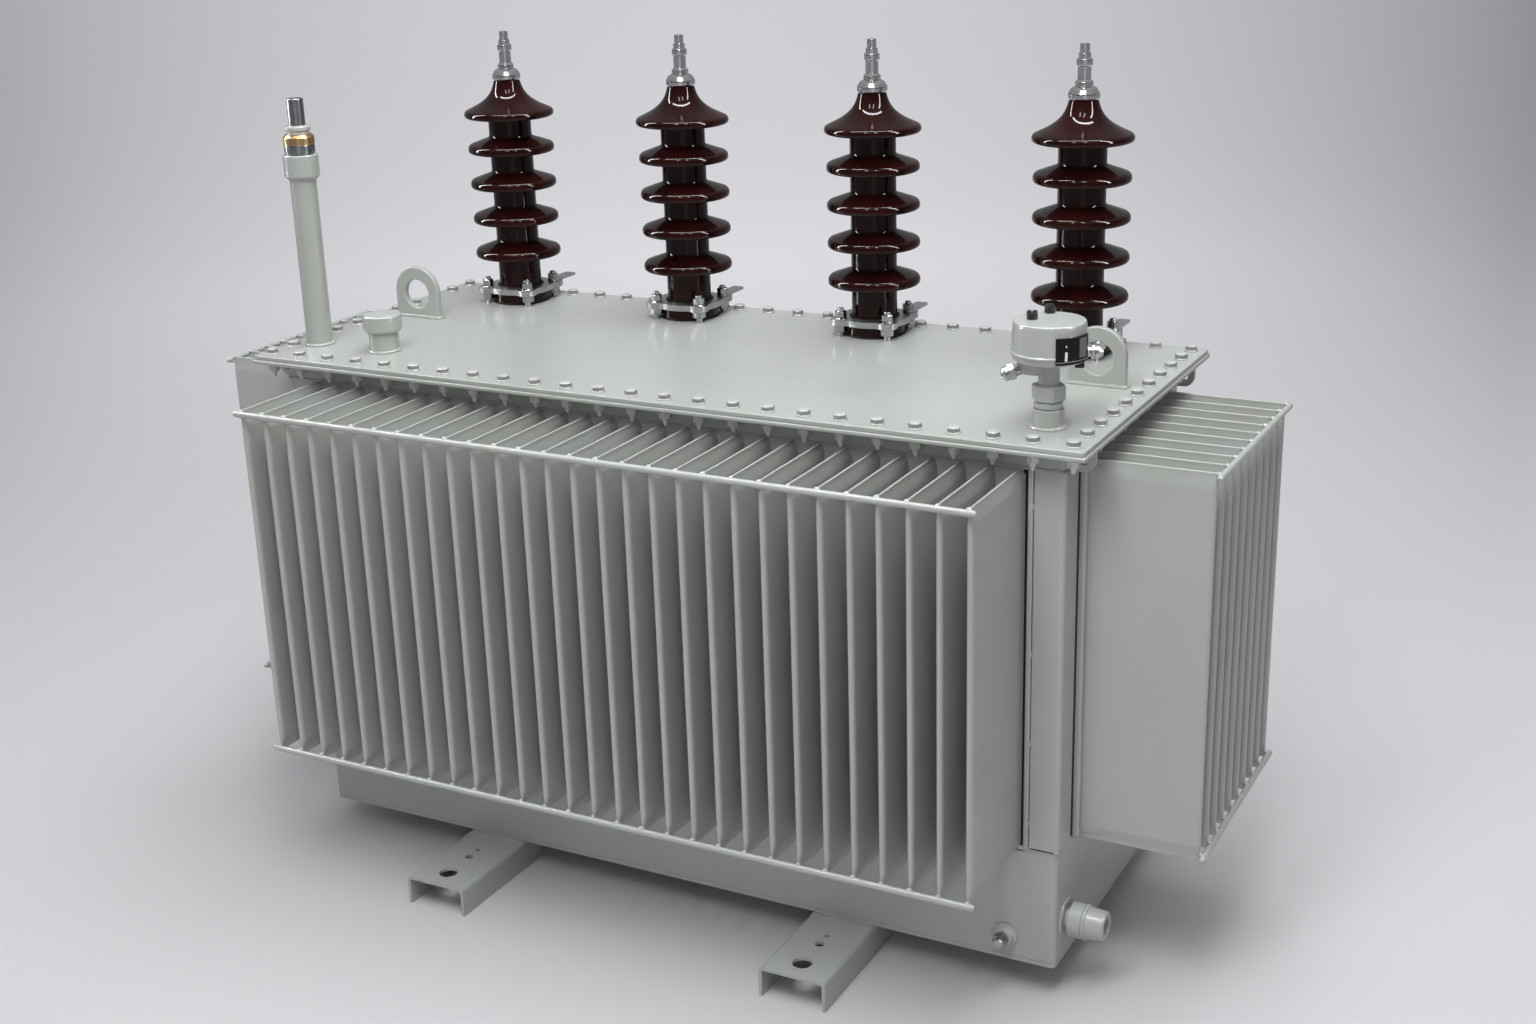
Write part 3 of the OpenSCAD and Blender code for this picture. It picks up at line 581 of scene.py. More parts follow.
def fold_fin(shape, foot, along, outward, depth, tall):
    """One fin that stands out of its wall from a foot point, pinched at its top and bottom."""
    heights = end_steps + [tall / 2] + [tall - step for step in reversed(end_steps)]
    wander = [fin_chance.uniform(-1, 1) for end in ("bottom", "top")]
    phase = fin_chance.uniform(0, 6.28)
    reaches = [0.0, root_middle, fin_root, 0.5 * pinch_fade, pinch_fade, 0.5 * depth, 0.75 * depth,
               depth - 2 * nose_reach, depth - nose_reach]
    flares = [fin_root, root_middle] + [0.0] * (len(reaches) - 2)
    rings = []
    for height in heights:
        nearest = min(height, tall - height)
        belly = fin_belly * math.sin(math.pi * height / tall)
        short = 1 - min(1.0, nearest / seam_round)
        top_round = 0.45 + 0.55 * math.sqrt(1 - short * short)
        flank = []
        for reach, flare in zip(reaches, flares):
            swell = swelling(nearest, reach)
            wide = fin_half + belly * math.sin(math.pi * reach / depth)
            flank.append((top_round * seam_half + (wide - seam_half) * swell + flare * swell, reach))
        tip_half = flank[-1][0]
        nose = []
        for k in range(1, nose_steps):
            turn = math.pi * k / nose_steps
            nose.append((tip_half * math.cos(turn), depth - nose_reach + nose_reach * math.sin(turn)))
        section = flank + nose + [(-offset, reach) for offset, reach in reversed(flank)]
        drift = (1 - swelling(nearest, depth)) * seam_stray * wander[height > tall / 2]
        ring = []
        for offset, reach in section:
            sway = drift * math.sin(phase + seam_waves * reach / depth)
            spot = foot + along * (offset + sway) + outward * reach + Vector((0, 0, height))
            ring.append(shape.verts.new(spot))
        rings.append(ring)
    for first, second in zip(rings, rings[1:]):
        for k in range(len(first) - 1):
            shape.faces.new((first[k], first[k + 1], second[k + 1], second[k]))
    shape.faces.new(rings[0])
    shape.faces.new(rings[-1])


# Each wall: name, number of fins, margin from the wall's end to its first fin, way out
walls = (("front", 29, 12 * mm, Vector((0, -1, 0))), ("back", 29, 12 * mm, Vector((0, 1, 0))),
         ("left", 10, 7 * mm, Vector((-1, 0, 0))), ("right", 10, 7 * mm, Vector((1, 0, 0))))
fin_rows = {}
for name, count, margin, outward in walls:
    low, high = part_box("fin_wall_" + name)
    along = Vector((abs(outward.y), abs(outward.x), 0))
    face = tank_high.dot(Vector((abs(outward.x), abs(outward.y), 0)))
    tip = max(abs(low.dot(outward)), abs(high.dot(outward)))
    first = low.dot(along) + margin
    last = high.dot(along) - margin
    spots = [first + (last - first) * k / (count - 1) for k in range(count)]
    fin_rows[name] = (outward, along, tip, spots)
    wall = bmesh.new()
    for spot in spots:
        foot = outward * face + along * spot + Vector((0, 0, low.z))
        fold_fin(wall, foot, along, outward, tip - face, high.z - low.z)
    turn = Matrix((along, outward, Vector((0, 0, 1)))).transposed().to_4x4()
    sheet = rectangle(low.dot(along) - sheet_lap, face - sheet_back, high.dot(along) + sheet_lap, face)
    plate(wall, [sheet], low.z - sheet_drop, high.z, 0.5 * mm, turn)
    fit_piece(name + "_cooling_wall", wall, enamel, "paint", "fin_wall_" + name)

# Fin rails
# A round bar runs across the fin tips near the top and the bottom of each wall and keeps the
# fins apart. It is welded to every fin with a short run above and below.
rail_tack = 4.6 * mm
rail_sides = 16
tack_squeeze = Matrix.Diagonal((1.0, 1.0, 0.8, 1.0))
tack_chance = random.Random(5)
for name, (outward, along, tip, spots) in fin_rows.items():
    low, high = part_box("fin_rails_" + name)
    out = max(abs(low.dot(outward)), abs(high.dot(outward)))
    bar = (out - tip) / 2
    inset = (0.0, 0.15 * bar, 0.5 * bar, bar)
    narrow = (0.35 * bar, 0.62 * bar, 0.88 * bar, bar)
    rails = bmesh.new()
    for height in (low.z + bar, high.z - bar):
        line = outward * (out - bar) + Vector((0, 0, height))
        path = [line + along * (low.dot(along) + step) for step in inset]
        path += [line + along * (high.dot(along) - step) for step in reversed(inset)]
        rod(rails, path, narrow + narrow[::-1], rail_sides)
        for spot in spots:
            for lift in (-1, 1):
                centre = line + along * spot - outward * 0.75 * bar + Vector((0, 0, lift * 0.75 * bar))
                size = rail_tack * tack_chance.uniform(0.85, 1.2)
                bmesh.ops.create_icosphere(rails, subdivisions=2, radius=size,
                                           matrix=Matrix.Translation(centre) @ tack_squeeze)
    fit_piece(name + "_fin_rails", rails, enamel, "paint", "fin_rails_" + name)

# Rim and flange
# The rim band closes the tank over the cooling walls, and a flat flange is welded round its top
# to take the cover bolts.
rim_edge = 1.5 * mm
fit_piece("rim_band", eased("tank_rim", rim_edge), enamel, "paint", "tank_rim")
low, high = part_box("tank_flange")
flange_proud = 2.5 * mm
flange_lap = 10 * mm
flange_corner = 4 * mm
flange_edge = 3.2 * mm
rim_bead = 5 * mm
outer_x = high.x + flange_proud
outer_y = high.y + flange_proud
inner_x = tank_high.x - flange_lap
inner_y = tank_high.y - flange_lap
flange_outline = [(x, y, flange_corner) for x, y in rectangle(-outer_x, -outer_y, outer_x, outer_y)]
flange_hole = ((-inner_x, -inner_y), (-inner_x, inner_y), (inner_x, inner_y), (inner_x, -inner_y))
flange = bmesh.new()
plate(flange, [softened(flange_outline, closed=True), flange_hole], low.z, high.z, flange_edge)
fit_piece("bolting_flange", flange, enamel, "paint", "tank_flange")
low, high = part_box("tank_rim")
rim_weld = bmesh.new()
rim_line = [Vector((x, y, low.z)) for x, y in rectangle(low.x, low.y, high.x, high.y)]
weld(rim_weld, rim_line, rim_bead, closed=True)
fit_piece("rim_weld", rim_weld, enamel, "paint")

# Cover
# One flat steel plate lies on the flange over a thin gasket and carries the bushings and all the
# fittings. Its edges are broken and it has the same smooth enamel.
cover_edge = 1.5 * mm
fit_piece("cover_plate", eased("cover", cover_edge, 3), enamel, "paint", "cover")
cover_low, cover_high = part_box("cover")
deck = cover_high.z

# Cover bolts
# Steel bolts with washers hold the cover down all round, painted over with the tank; their heads are
# painted darker on the sides and paler on top, as painted shade and light. Their nuts and their ends
# show under the flange, in front of the rim, painted paler than the tank as painted light.
bolt_inset = 25 * mm
bolts_long = 25
bolts_short = 11
head_across = 19.5 * mm
head_height = 8 * mm
washer_radius = 12.3 * mm
washer_height = 2.6 * mm
nut_across = 18 * mm
nut_height = 14 * mm
nut_washer_radius = 10 * mm
shank_radius = 6 * mm
point_radius = 3 * mm
shank_end = 28 * mm
bolt_chance = random.Random(3)
# Painted shade and light: the heads' sides get a dark enamel and their tops a pale one.
bolt_enamel_lit_and_shaded, bolt_shader, bare = new_finish("bolt_enamel_lit_and_shaded", {"Coat Weight": 0.2, "Coat Roughness": 0.15})
lay_finish(bolt_shader,
           color=upward(bare).ease(0.25, 0.95).blend((0.235, 0.247, 0.230), (0.47, 0.49, 0.475)),
           roughness=0.3 + 0.14 * lumps(bare, 0.02), relief=lumps(bare, 4 * mm, 1.0), depth=0.1 * mm)


def on_circle(radius, turn, height):
    """The point at a radius, an angle and a height about an upright axis."""
    return Vector((radius * math.cos(turn), radius * math.sin(turn), height))


def turned(shape, outline, place, sides):
    """Turns an outline of (radius, height) points about the upright axis of a place, as on a lathe."""
    rings = []
    for radius, height in outline:
        if radius < 1e-7:
            rings.append([shape.verts.new(place @ Vector((0, 0, height)))])
            continue
        rings.append([shape.verts.new(place @ on_circle(radius, turn, height)) for turn in angles(sides)])
    for first, second in zip(rings, rings[1:]):
        for k in range(sides):
            following = (k + 1) % sides
            corners = [first[k % len(first)], first[following % len(first)],
                       second[following % len(second)], second[k % len(second)]]
            shape.faces.new(list(dict.fromkeys(corners)))


def hexagon(shape, across, low, high, place, foot_cut=0.0, top_cut=0.11, corner_turn=5):
    """A hexagon head or nut between two heights. The cuts take off its corners, as shares of its width."""
    flat = across / 2
    levels = [(1 - 1.3 * foot_cut, low), (1.0, low + 0.6 * foot_cut * across + 1e-6),
              (1.0, high - 0.6 * top_cut * across), (1 - 0.65 * top_cut, high - 0.2 * top_cut * across),
              (1 - 1.35 * top_cut, high)]
    beside = 1 / math.cos(math.radians(30 - corner_turn))
    blunt = 0.5 * (beside + 1 / math.cos(math.radians(30)))
    rings = []
    for share, height in levels:
        ring = []
        for k in range(6):
            for offset, stretch in ((-corner_turn, beside), (0, blunt), (corner_turn, beside)):
                turn = math.radians(60 * k + offset)
                ring.append(shape.verts.new(place @ on_circle(share * stretch * flat, turn, height)))
        rings.append(ring)
    skin(shape, rings)


def washer(shape, radius, low, high, place, sides=24):
    """A flat washer between two heights, its upper edge broken."""
    edge = 0.6 * (high - low)
    outline = [(0, low), (radius, low), (radius, high - edge), (radius - edge, high), (0, high)]
    turned(shape, outline, place, sides)


bolt_spots = []
for k in range(bolts_long):
    x = (cover_high.x - bolt_inset) * (2 * k / (bolts_long - 1) - 1)
    bolt_spots += [(x, cover_low.y + bolt_inset), (x, cover_high.y - bolt_inset)]
for k in range(1, bolts_short - 1):
    y = (cover_high.y - bolt_inset) * (2 * k / (bolts_short - 1) - 1)
    bolt_spots += [(cover_low.x + bolt_inset, y), (cover_high.x - bolt_inset, y)]
flange_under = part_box("tank_flange")[0].z
heads = bmesh.new()
nuts = bmesh.new()
for x, y in bolt_spots:
    turn = Matrix.Rotation(bolt_chance.uniform(0, math.tau), 4, "Z")
    top = Matrix.Translation((x, y, deck)) @ turn
    washer(heads, washer_radius, 0, washer_height, top)
    hexagon(heads, head_across, washer_height, washer_height + head_height, top, top_cut=0.14)
    under = Matrix.Translation((x, y, flange_under)) @ Matrix.Rotation(math.pi, 4, "X") @ turn
    washer(nuts, nut_washer_radius, 0, washer_height, under)
    hexagon(nuts, nut_across, washer_height, washer_height + nut_height, under, foot_cut=0.1)
    reach = shank_end + bolt_chance.uniform(-2, 2) * mm
    shank = [(0, washer_height), (shank_radius, washer_height), (shank_radius, washer_height + nut_height),
             (point_radius, reach - 1 * mm), (0, reach)]
    turned(nuts, shank, under, 16)
fit_piece("cover_bolts", heads, bolt_enamel_lit_and_shaded, "paint")
# Painted light: the nuts get a paler copy of the tank's enamel, as if lit where they stand under the flange.
pale_lit_nut_paint = mottled("pale_lit_nut_paint", {"Coat Weight": 0.2, "Coat Roughness": 0.2},
                   (0.54, 0.56, 0.54), (0.68, 0.70, 0.68),
                   patch=0.02, gloss=(0.35, 0.15), grain=5 * mm, bumps=3 * mm, depth=0.1 * mm)
fit_piece("cover_nuts", nuts, pale_lit_nut_paint, "paint")

# Lifting lugs and lashing eyes
# Flame-cut plates with a hole: the lugs are welded upright on the cover to lift the whole tank,
# the small eyes sit under the flange at the corners.
lug_weld = 7.5 * mm
lug_edge = 2.2 * mm
eye_edge = 1.2 * mm
lug_welds = bmesh.new()
for side in ("left", "right"):
    node = "lifting_lug_" + side
    fit_piece(side + "_lifting_lug", eased(node, lug_edge, 3), enamel, "paint", node)
    low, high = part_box(node)
    foot = rectangle(low.x - 1 * mm, low.y - 1 * mm, high.x + 1 * mm, high.y + 1 * mm)
    weld(lug_welds, [Vector((x, y, deck + 1.5 * mm)) for x, y in foot], lug_weld, closed=True)
fit_piece("lug_welds", lug_welds, enamel, "paint")
fit_piece("corner_eyes", eased("lashing_eyes", eye_edge), enamel, "paint", "lashing_eyes")


# Porcelain insulators
# Each is one piece of porcelain with a bell and four sheds that keep rain off the column, turned,
# glazed dark brown and fired. The glaze pools a little and shines like glass.
def axis_of(node, height=None):
    """The upright axis through the middle of a node, with its zero at a height or else at its foot."""
    low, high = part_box(node)
    zero = low.z if height is None else height
    return Matrix.Translation(((low.x + high.x) / 2, (low.y + high.y) / 2, zero))


glaze_dark = (0.012, 0.0026, 0.0023)
glaze_red = (0.022, 0.0046, 0.004)
glaze, glaze_shader, bare = new_finish("brown_glaze", {"Specular IOR Level": 0.19})
lay_finish(glaze_shader,
           color=lumps(bare, 0.06).ease(0.25, 0.75).blend(glaze_dark, glaze_red),
           roughness=0.05 + 0.07 * lumps(bare, 0.02),
           relief=lumps(bare, 0.022, 1.0), depth=0.06 * mm)
column_radius = 42 * mm
foot_radius = 56 * mm
foot_height = 21.7 * mm
shed_radius = 85 * mm
bell_radius = 88 * mm
neck_radius = 25.5 * mm
first_shed = 101 * mm
shed_pitch = 69 * mm
shed_count = 4
shed_rise = 22 * mm
rim_low = 8.5 * mm
rim_high = 7 * mm
bell_rim = 4 * mm
bell_lean = 13.5 * mm
bell_steps = 16
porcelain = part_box("insulator_1")
porcelain_height = porcelain[1].z - porcelain[0].z
profile = [(0.0, 0.0, 0), (foot_radius, 0.0, 1.5 * mm), (foot_radius, foot_height, 3 * mm),
           (column_radius, foot_height, 1.5 * mm)]
for k in range(shed_count + 1):
    rim = first_shed + k * shed_pitch
    reach = bell_radius if k == shed_count else shed_radius
    profile += [(column_radius, rim - 11 * mm, 5 * mm), (reach - 12 * mm, rim - rim_low, 4 * mm),
                (reach, rim - rim_low, 7.5 * mm)]
    if k < shed_count:
        profile += [(reach, rim + rim_high, 10 * mm), (column_radius, rim + shed_rise, 6 * mm)]
profile.append((reach, rim + bell_rim, 9 * mm))
bell_start = rim + bell_rim + 6.5 * mm
bell_flare = bell_radius - neck_radius - 14 * mm
for k in range(bell_steps + 1):
    share = k / bell_steps
    flare = bell_lean * (1 - share) + (bell_flare - bell_lean) * (1 - share) ** 3
    profile.append((neck_radius + flare, bell_start + (porcelain_height - bell_start) * share, 0))
profile.append((0.0, porcelain_height, 0))
porcelain_outline = softened(profile, steps=6)
bushings = range(1, 5)
for number in bushings:
    node = "insulator_%d" % number
    insulator = bmesh.new()
    turned(insulator, porcelain_outline, axis_of(node), 96)
    fit_piece("porcelain_%d" % number, insulator, glaze, "glaze", node)


# Bushing clamps
# A cast plate of light alloy presses each porcelain foot on the cover by four studs, which have
# plated nuts. A tab for the earth strap stands off one stud, and black gaskets seal the porcelain.
def lathe(shape, corners, place, sides=64):
    """Turns an outline of (radius, height, rounding) corners in millimetres about a place's axis."""
    turned(shape, softened([tuple(size * mm for size in corner) for corner in corners]), place, sides)


alloy = mottled("cast_alloy", {"Metallic": 1.0}, (0.42, 0.43, 0.44), (0.58, 0.59, 0.60),
                patch=0.02, gloss=(0.24, 0.22), grain=6 * mm, bumps=1.6 * mm, depth=0.10 * mm, detail=3.0)
plated = mottled("plated_steel", {"Metallic": 1.0}, (0.36, 0.36, 0.37), (0.52, 0.52, 0.53),
                 patch=5 * mm, gloss=(0.14, 0.16), grain=3 * mm, bumps=1.2 * mm, depth=0.04 * mm)
clamp_edge = 1.4 * mm
clamp_top = 33 * mm
stud_offset = 47 * mm
stud_outline = ((0, 2, 0), (5.2, 2, 0), (5.2, 20, 1.5), (0, 20.5, 0))
stud_washer = 1.8 * mm
stud_washer_radius = 11.5 * mm
clamp_nut_across = 19 * mm
clamp_nut_height = 15 * mm
under_nut_across = 22.5 * mm
under_nut_low = 8 * mm
cap_seal_radius = 24 * mm
column_gasket = [(column_radius, clamp_top - 4 * mm, 0), (column_radius + 5 * mm, clamp_top - 4 * mm, 0),
                 (column_radius + 4 * mm, clamp_top + 1.5 * mm, 0), (column_radius, clamp_top + 3 * mm, 0)]
foot_gasket = [(foot_radius - 3 * mm, 0.2 * mm, 0), (foot_radius + 2 * mm, 0.2 * mm, 1 * mm),
               (foot_radius + 2 * mm, 4 * mm, 1 * mm), (foot_radius - 3 * mm, 4 * mm, 0)]
cap_gasket = [(0, porcelain_height - 1 * mm, 0), (cap_seal_radius, porcelain_height - 1 * mm, 0),
              (cap_seal_radius, porcelain_height + 1 * mm, 0), (0, porcelain_height + 1 * mm, 0)]
for number in bushings:
    node = "bushing_clamp_%d" % number
    fit_piece("clamp_%d" % number, eased(node, clamp_edge), alloy, "bright_metal", node)
    seat = axis_of("insulator_%d" % number, deck)
    fixings = bmesh.new()
    for sign_x, sign_y in quarters:
        stud = seat @ Matrix.Translation((sign_x * stud_offset, sign_y * stud_offset, clamp_top))
        stud = stud @ Matrix.Rotation(bolt_chance.uniform(0, 1), 4, "Z")
        washer(fixings, stud_washer_radius, 0, stud_washer, stud)
        hexagon(fixings, under_nut_across, under_nut_low - clamp_top, foot_height - clamp_top, stud,
                foot_cut=0.1, top_cut=0.05)
        hexagon(fixings, clamp_nut_across, stud_washer, clamp_nut_height, stud, foot_cut=0.1)
        lathe(fixings, stud_outline, stud, 20)
    fit_piece("clamp_nuts_%d" % number, fixings, plated, "bright_metal")
    seals = bmesh.new()
    for gasket in (column_gasket, foot_gasket, cap_gasket):
        turned(seals, softened(gasket), seat, 64)
    fit_piece("bushing_seals_%d" % number, seals, gasket_and_shadow_black, "black_plastic")


# Terminals
# A turned and polished metal cap closes each bushing, and its stepped stem takes the line's clamp.
# The long strips of light leave the caps out.
def turned_metal(name, dark, pale, patch, gloss, marks, run, depth):
    """A bare metal with the fine rings of the lathe in its gloss and its skin."""
    finish, shader, bare = new_finish(name, {"Metallic": 1.0})
    rings = lumps(bare, marks, 1.0, stretch=(run, run, 1.0))
    lay_finish(shader, color=lumps(bare, patch).blend(dark, pale),
               roughness=gloss[0] + gloss[1] * rings, relief=rings, depth=depth)
    return finish


nickel = turned_metal("polished_metal", (0.58, 0.58, 0.59), (0.70, 0.70, 0.71), patch=0.01,
                      gloss=(0.15, 0.05), marks=0.5 * mm, run=60.0, depth=0.001 * mm)
cap_outline = ((0, 0, 0), (24.5, 0, 1.5), (27.5, 4, 2.5), (27.5, 11, 4), (22, 20, 8), (15, 23.5, 0.8),
               (15.7, 25, 1), (15.5, 30.5, 1.5), (11.7, 34, 1), (11.7, 56, 1), (14, 58, 3), (14, 68, 4),
               (10.8, 70, 0.6), (10.8, 78, 0.8), (8.5, 78.6, 0.5), (8.5, 94, 1.8), (0, 94, 0))
for number in bushings:
    node = "terminal_%d" % number
    terminal = bmesh.new()
    lathe(terminal, cap_outline, axis_of(node))
    glare_free.objects.link(fit_piece("terminal_cap_%d" % number, terminal, nickel, "bright_metal", node))
for member in glare_free.collection_objects:
    member.light_linking.link_state = "EXCLUDE"


# Filler pipe
# A tall steel pipe is welded on the cover and painted. Its top has a coupling, a steel ring, a
# brass ring, a small painted collar and a bright steel stem.
def half_width(node):
    """Half the width of a node, which is its widest radius if it is round."""
    low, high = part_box(node)
    return (high.x - low.x) / 2


def ring_weld(shape, place, radius, height, size):
    """A weld bead round a pipe or a disc, at a height on its place's axis."""
    weld(shape, [place @ on_circle(radius, turn, height) for turn in angles(40)], size, closed=True)


def stand_up(name, node, finish, slot, place, foot, head, crown=0, weld_gap=None):
    """A turned piece that stands upright where its node does. The corners of its foot and its head
    are (inset from its widest radius, distance from that end, rounding), in millimetres."""
    low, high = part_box(node)
    outer = half_width(node)
    corners = [(outer - inset * mm, low.z + rise * mm, arc * mm) for inset, rise, arc in foot]
    corners += [(outer - inset * mm, high.z - drop * mm, arc * mm) for inset, drop, arc in head]
    shape = bmesh.new()
    turned(shape, softened([(0, corners[0][1], 0), *corners, (0, high.z - crown * mm, 0)]), place, 64)
    if weld_gap is not None:
        ring_weld(shape, place, outer + weld_gap * mm, deck + 0.25 * fillet, fillet)
    fit_piece(name, shape, finish, slot, node)


fillet = 7.5 * mm
square = ((0, 0, 0),)
pipe_axis = axis_of("filler_pipe", 0.0)
coupling_step = (half_width("pipe_coupling") - half_width("filler_pipe")) / mm
steel = turned_metal("turned_steel", (0.24, 0.245, 0.25), (0.40, 0.41, 0.42), patch=0.01,
                     gloss=(0.12, 0.16), marks=0.6 * mm, run=50.0, depth=0.02 * mm)
brass = turned_metal("turned_brass", (0.50, 0.30, 0.13), (0.66, 0.46, 0.24), patch=0.008,
                     gloss=(0.16, 0.16), marks=0.6 * mm, run=50.0, depth=0.02 * mm)
stand_up("pipe", "filler_pipe", enamel, "paint", pipe_axis, square, square, weld_gap=1)
stand_up("coupling", "pipe_coupling", enamel, "paint", pipe_axis,
         ((coupling_step, 0, 1), (0, 9, 2)), ((0, 0, 2.5),))
stand_up("steel_ring", "pipe_steel_ring", steel, "dark_steel", pipe_axis,
         ((2.5, 0, 0.5), (2.5, 3, 0.5), (0, 3.5, 1)), ((0, 1, 1.5),), crown=1)
stand_up("brass_ring", "pipe_brass_ring", brass, "brass", pipe_axis, ((0, -1, 1),), ((0, 5, 1), (4, 0, 1)))
stand_up("collar", "pipe_collar", enamel, "paint", pipe_axis,
         ((2, 0, 1), (3.5, 5, 2), (0, 8, 2.5)), ((0, 1, 3), (6, 0, 1)))
stand_up("stem", "pipe_stem", steel, "dark_steel", pipe_axis, square, ((0, 0, 1.8),))

# Filler neck
# A short pipe is welded on the cover. A thick cast screw cap with a rounded top closes it, and both
# are painted with the tank.
neck_axis = axis_of("filler_neck", 0.0)
crown_inset = 0.4 * half_width("filler_cap") / mm
stand_up("neck", "filler_neck", enamel, "paint", neck_axis, square, square, weld_gap=1)
stand_up("screw_cap", "filler_cap", enamel, "paint", neck_axis,
         ((3, 0, 1.5), (0, 4, 2)), ((0, 2, 4), (crown_inset, 0.6, 6)))

# Protection relay
# It watches gas, pressure and heat of the oil. A cast drum with a pane on its side sits on a neck
# and a union nut, over a socket welded on the cover; knobs and cable glands stand out of it.
relay_axis = axis_of("relay_socket", 0.0)
stand_up("relay_foot", "relay_socket", enamel, "paint", relay_axis,
         ((0, 0, 0), (0, 31, 1.2), (5, 31, 0.3), (5, 33.2, 0.3), (2, 33.2, 0.8), (2, 42, 1), (5, 42, 0.3)),
         ((5, 0, 0),), weld_gap=1.5)
low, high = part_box("relay_nut")
union_across = 47 * mm
union_place = relay_axis @ Matrix.Rotation(math.radians(5.5), 4, "Z")
union = bmesh.new()
hexagon(union, union_across, low.z, high.z, union_place, foot_cut=0.07, top_cut=0.09, corner_turn=2)
fit_piece("union_nut", union, enamel, "paint", "relay_nut")
drum_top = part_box("relay_drum")[1].z
drum_height = 62 * mm
drum_low = drum_top - drum_height
drum_radius = 58 * mm
band_radius = drum_radius + 2.5 * mm
relay_neck = 16.5 * mm
neck_low = high.z - 1 * mm
drum = bmesh.new()
turned(drum, softened([(0, neck_low, 0), (relay_neck, neck_low, 0), (relay_neck, drum_low, 2 * mm),
                       (band_radius - 5 * mm, drum_low, 2.5 * mm),
                       (band_radius - 2 * mm, drum_low + 10 * mm, 0.6 * mm),
                       (band_radius, drum_low + 11 * mm, 1 * mm), (band_radius, drum_low + 13.6 * mm, 1 * mm),
                       (drum_radius + 0.6 * mm, drum_low + 15 * mm, 1 * mm),
                       (drum_radius - 1.5 * mm, drum_top - 7 * mm, 2 * mm),
                       (drum_radius - 2.5 * mm, drum_top - 0.5 * mm, 3.5 * mm),
                       (drum_radius - 12 * mm, drum_top - 0.2 * mm, 0.5 * mm), (0, drum_top, 0)]),
       relay_axis, 96)
box_turn = math.radians(165)
box_offset = 24 * mm
box_low = drum_low - 24 * mm
box_place = relay_axis @ Matrix.Translation(on_circle(box_offset, box_turn, 0))
box_outline = [(0, box_low, 0), (29 * mm, box_low, 3 * mm), (31 * mm, drum_low, 0), (0, drum_low, 0)]
turned(drum, softened(box_outline), box_place, 64)
fit_piece("drum", drum, enamel, "paint", "relay_drum")


def bent_pane(shape, first, last, low, high, inner, outer):
    """A pane bent round the relay's axis between two angles and two heights."""
    count = max(2, round(abs(last - first) / 3))
    rows = []
    for k in range(count + 1):
        turn = math.radians(first + (last - first) * k / count)
        rows.append([shape.verts.new(relay_axis @ on_circle(radius, turn, height))
                     for radius, height in rectangle(inner, low, outer, high)])
    skin(shape, rows)


pane_black = mottled("black_pane", {"Specular IOR Level": 0.2}, (0.005, 0.005, 0.006), (0.012, 0.012, 0.013),
                     patch=0.01, gloss=(0.06, 0.05), grain=0.01, bumps=0.02, depth=0.03 * mm)
mark_white = mottled("white_mark", {"Specular IOR Level": 0.3}, (0.72, 0.72, 0.70), (0.85, 0.85, 0.84),
                     patch=3 * mm, gloss=(0.4, 0.1), grain=2 * mm, bumps=1 * mm, depth=0.02 * mm)
scale_grey = mottled("grey_scale", {"Coat Weight": 0.6, "Coat Roughness": 0.05},
                     (0.10, 0.10, 0.105), (0.16, 0.16, 0.165),
                     patch=4 * mm, gloss=(0.2, 0.1), grain=3 * mm, bumps=0.02, depth=0.03 * mm)
pane_first = -61.5
pane_last = 1.5
pane_low = drum_low + 4 * mm
pane_high = drum_low + 45 * mm
pane_out = drum_radius + 3 * mm
pane = bmesh.new()
bent_pane(pane, pane_first, pane_last, pane_low, pane_high, drum_radius - 6 * mm, pane_out)
fit_piece("pane", pane, pane_black, "window", "relay_window")
marks = bmesh.new()
bent_pane(marks, -48, -44.2, pane_low + 6 * mm, pane_low + 20 * mm, drum_radius, pane_out + 0.5 * mm)
bent_pane(marks, -47, -45, pane_low + 27 * mm, pane_low + 30 * mm, drum_radius, pane_out + 0.3 * mm)
fit_piece("pane_marks", marks, mark_white, "bright_metal")
scale = bmesh.new()
bent_pane(scale, -23, -7, pane_low + 8 * mm, pane_high - 3 * mm, drum_radius, pane_out + 0.3 * mm)
fit_piece("pane_scale", scale, scale_grey, "window")
frames = bmesh.new()
bent_pane(frames, pane_first, pane_last, pane_low + 3.6 * mm, pane_low + 4.8 * mm,
          drum_radius, pane_out + 0.5 * mm)
fit_piece("pane_frame", frames, plated, "bright_metal")
moulded = mottled("black_moulding", {"Specular IOR Level": 0.3}, (0.010, 0.010, 0.011), (0.028, 0.028, 0.030),
                  patch=2 * mm, gloss=(0.3, 0.2), grain=1.5 * mm, bumps=0.8 * mm, depth=0.06 * mm)


def round_about(axis, degrees, radius, height):
    """A place at an angle, a distance and a height about an upright axis, turned to face outward."""
    turn = Matrix.Rotation(math.radians(degrees), 4, "Z")
    return axis @ Matrix.Translation((0, 0, height)) @ turn @ Matrix.Translation((radius, 0, 0))


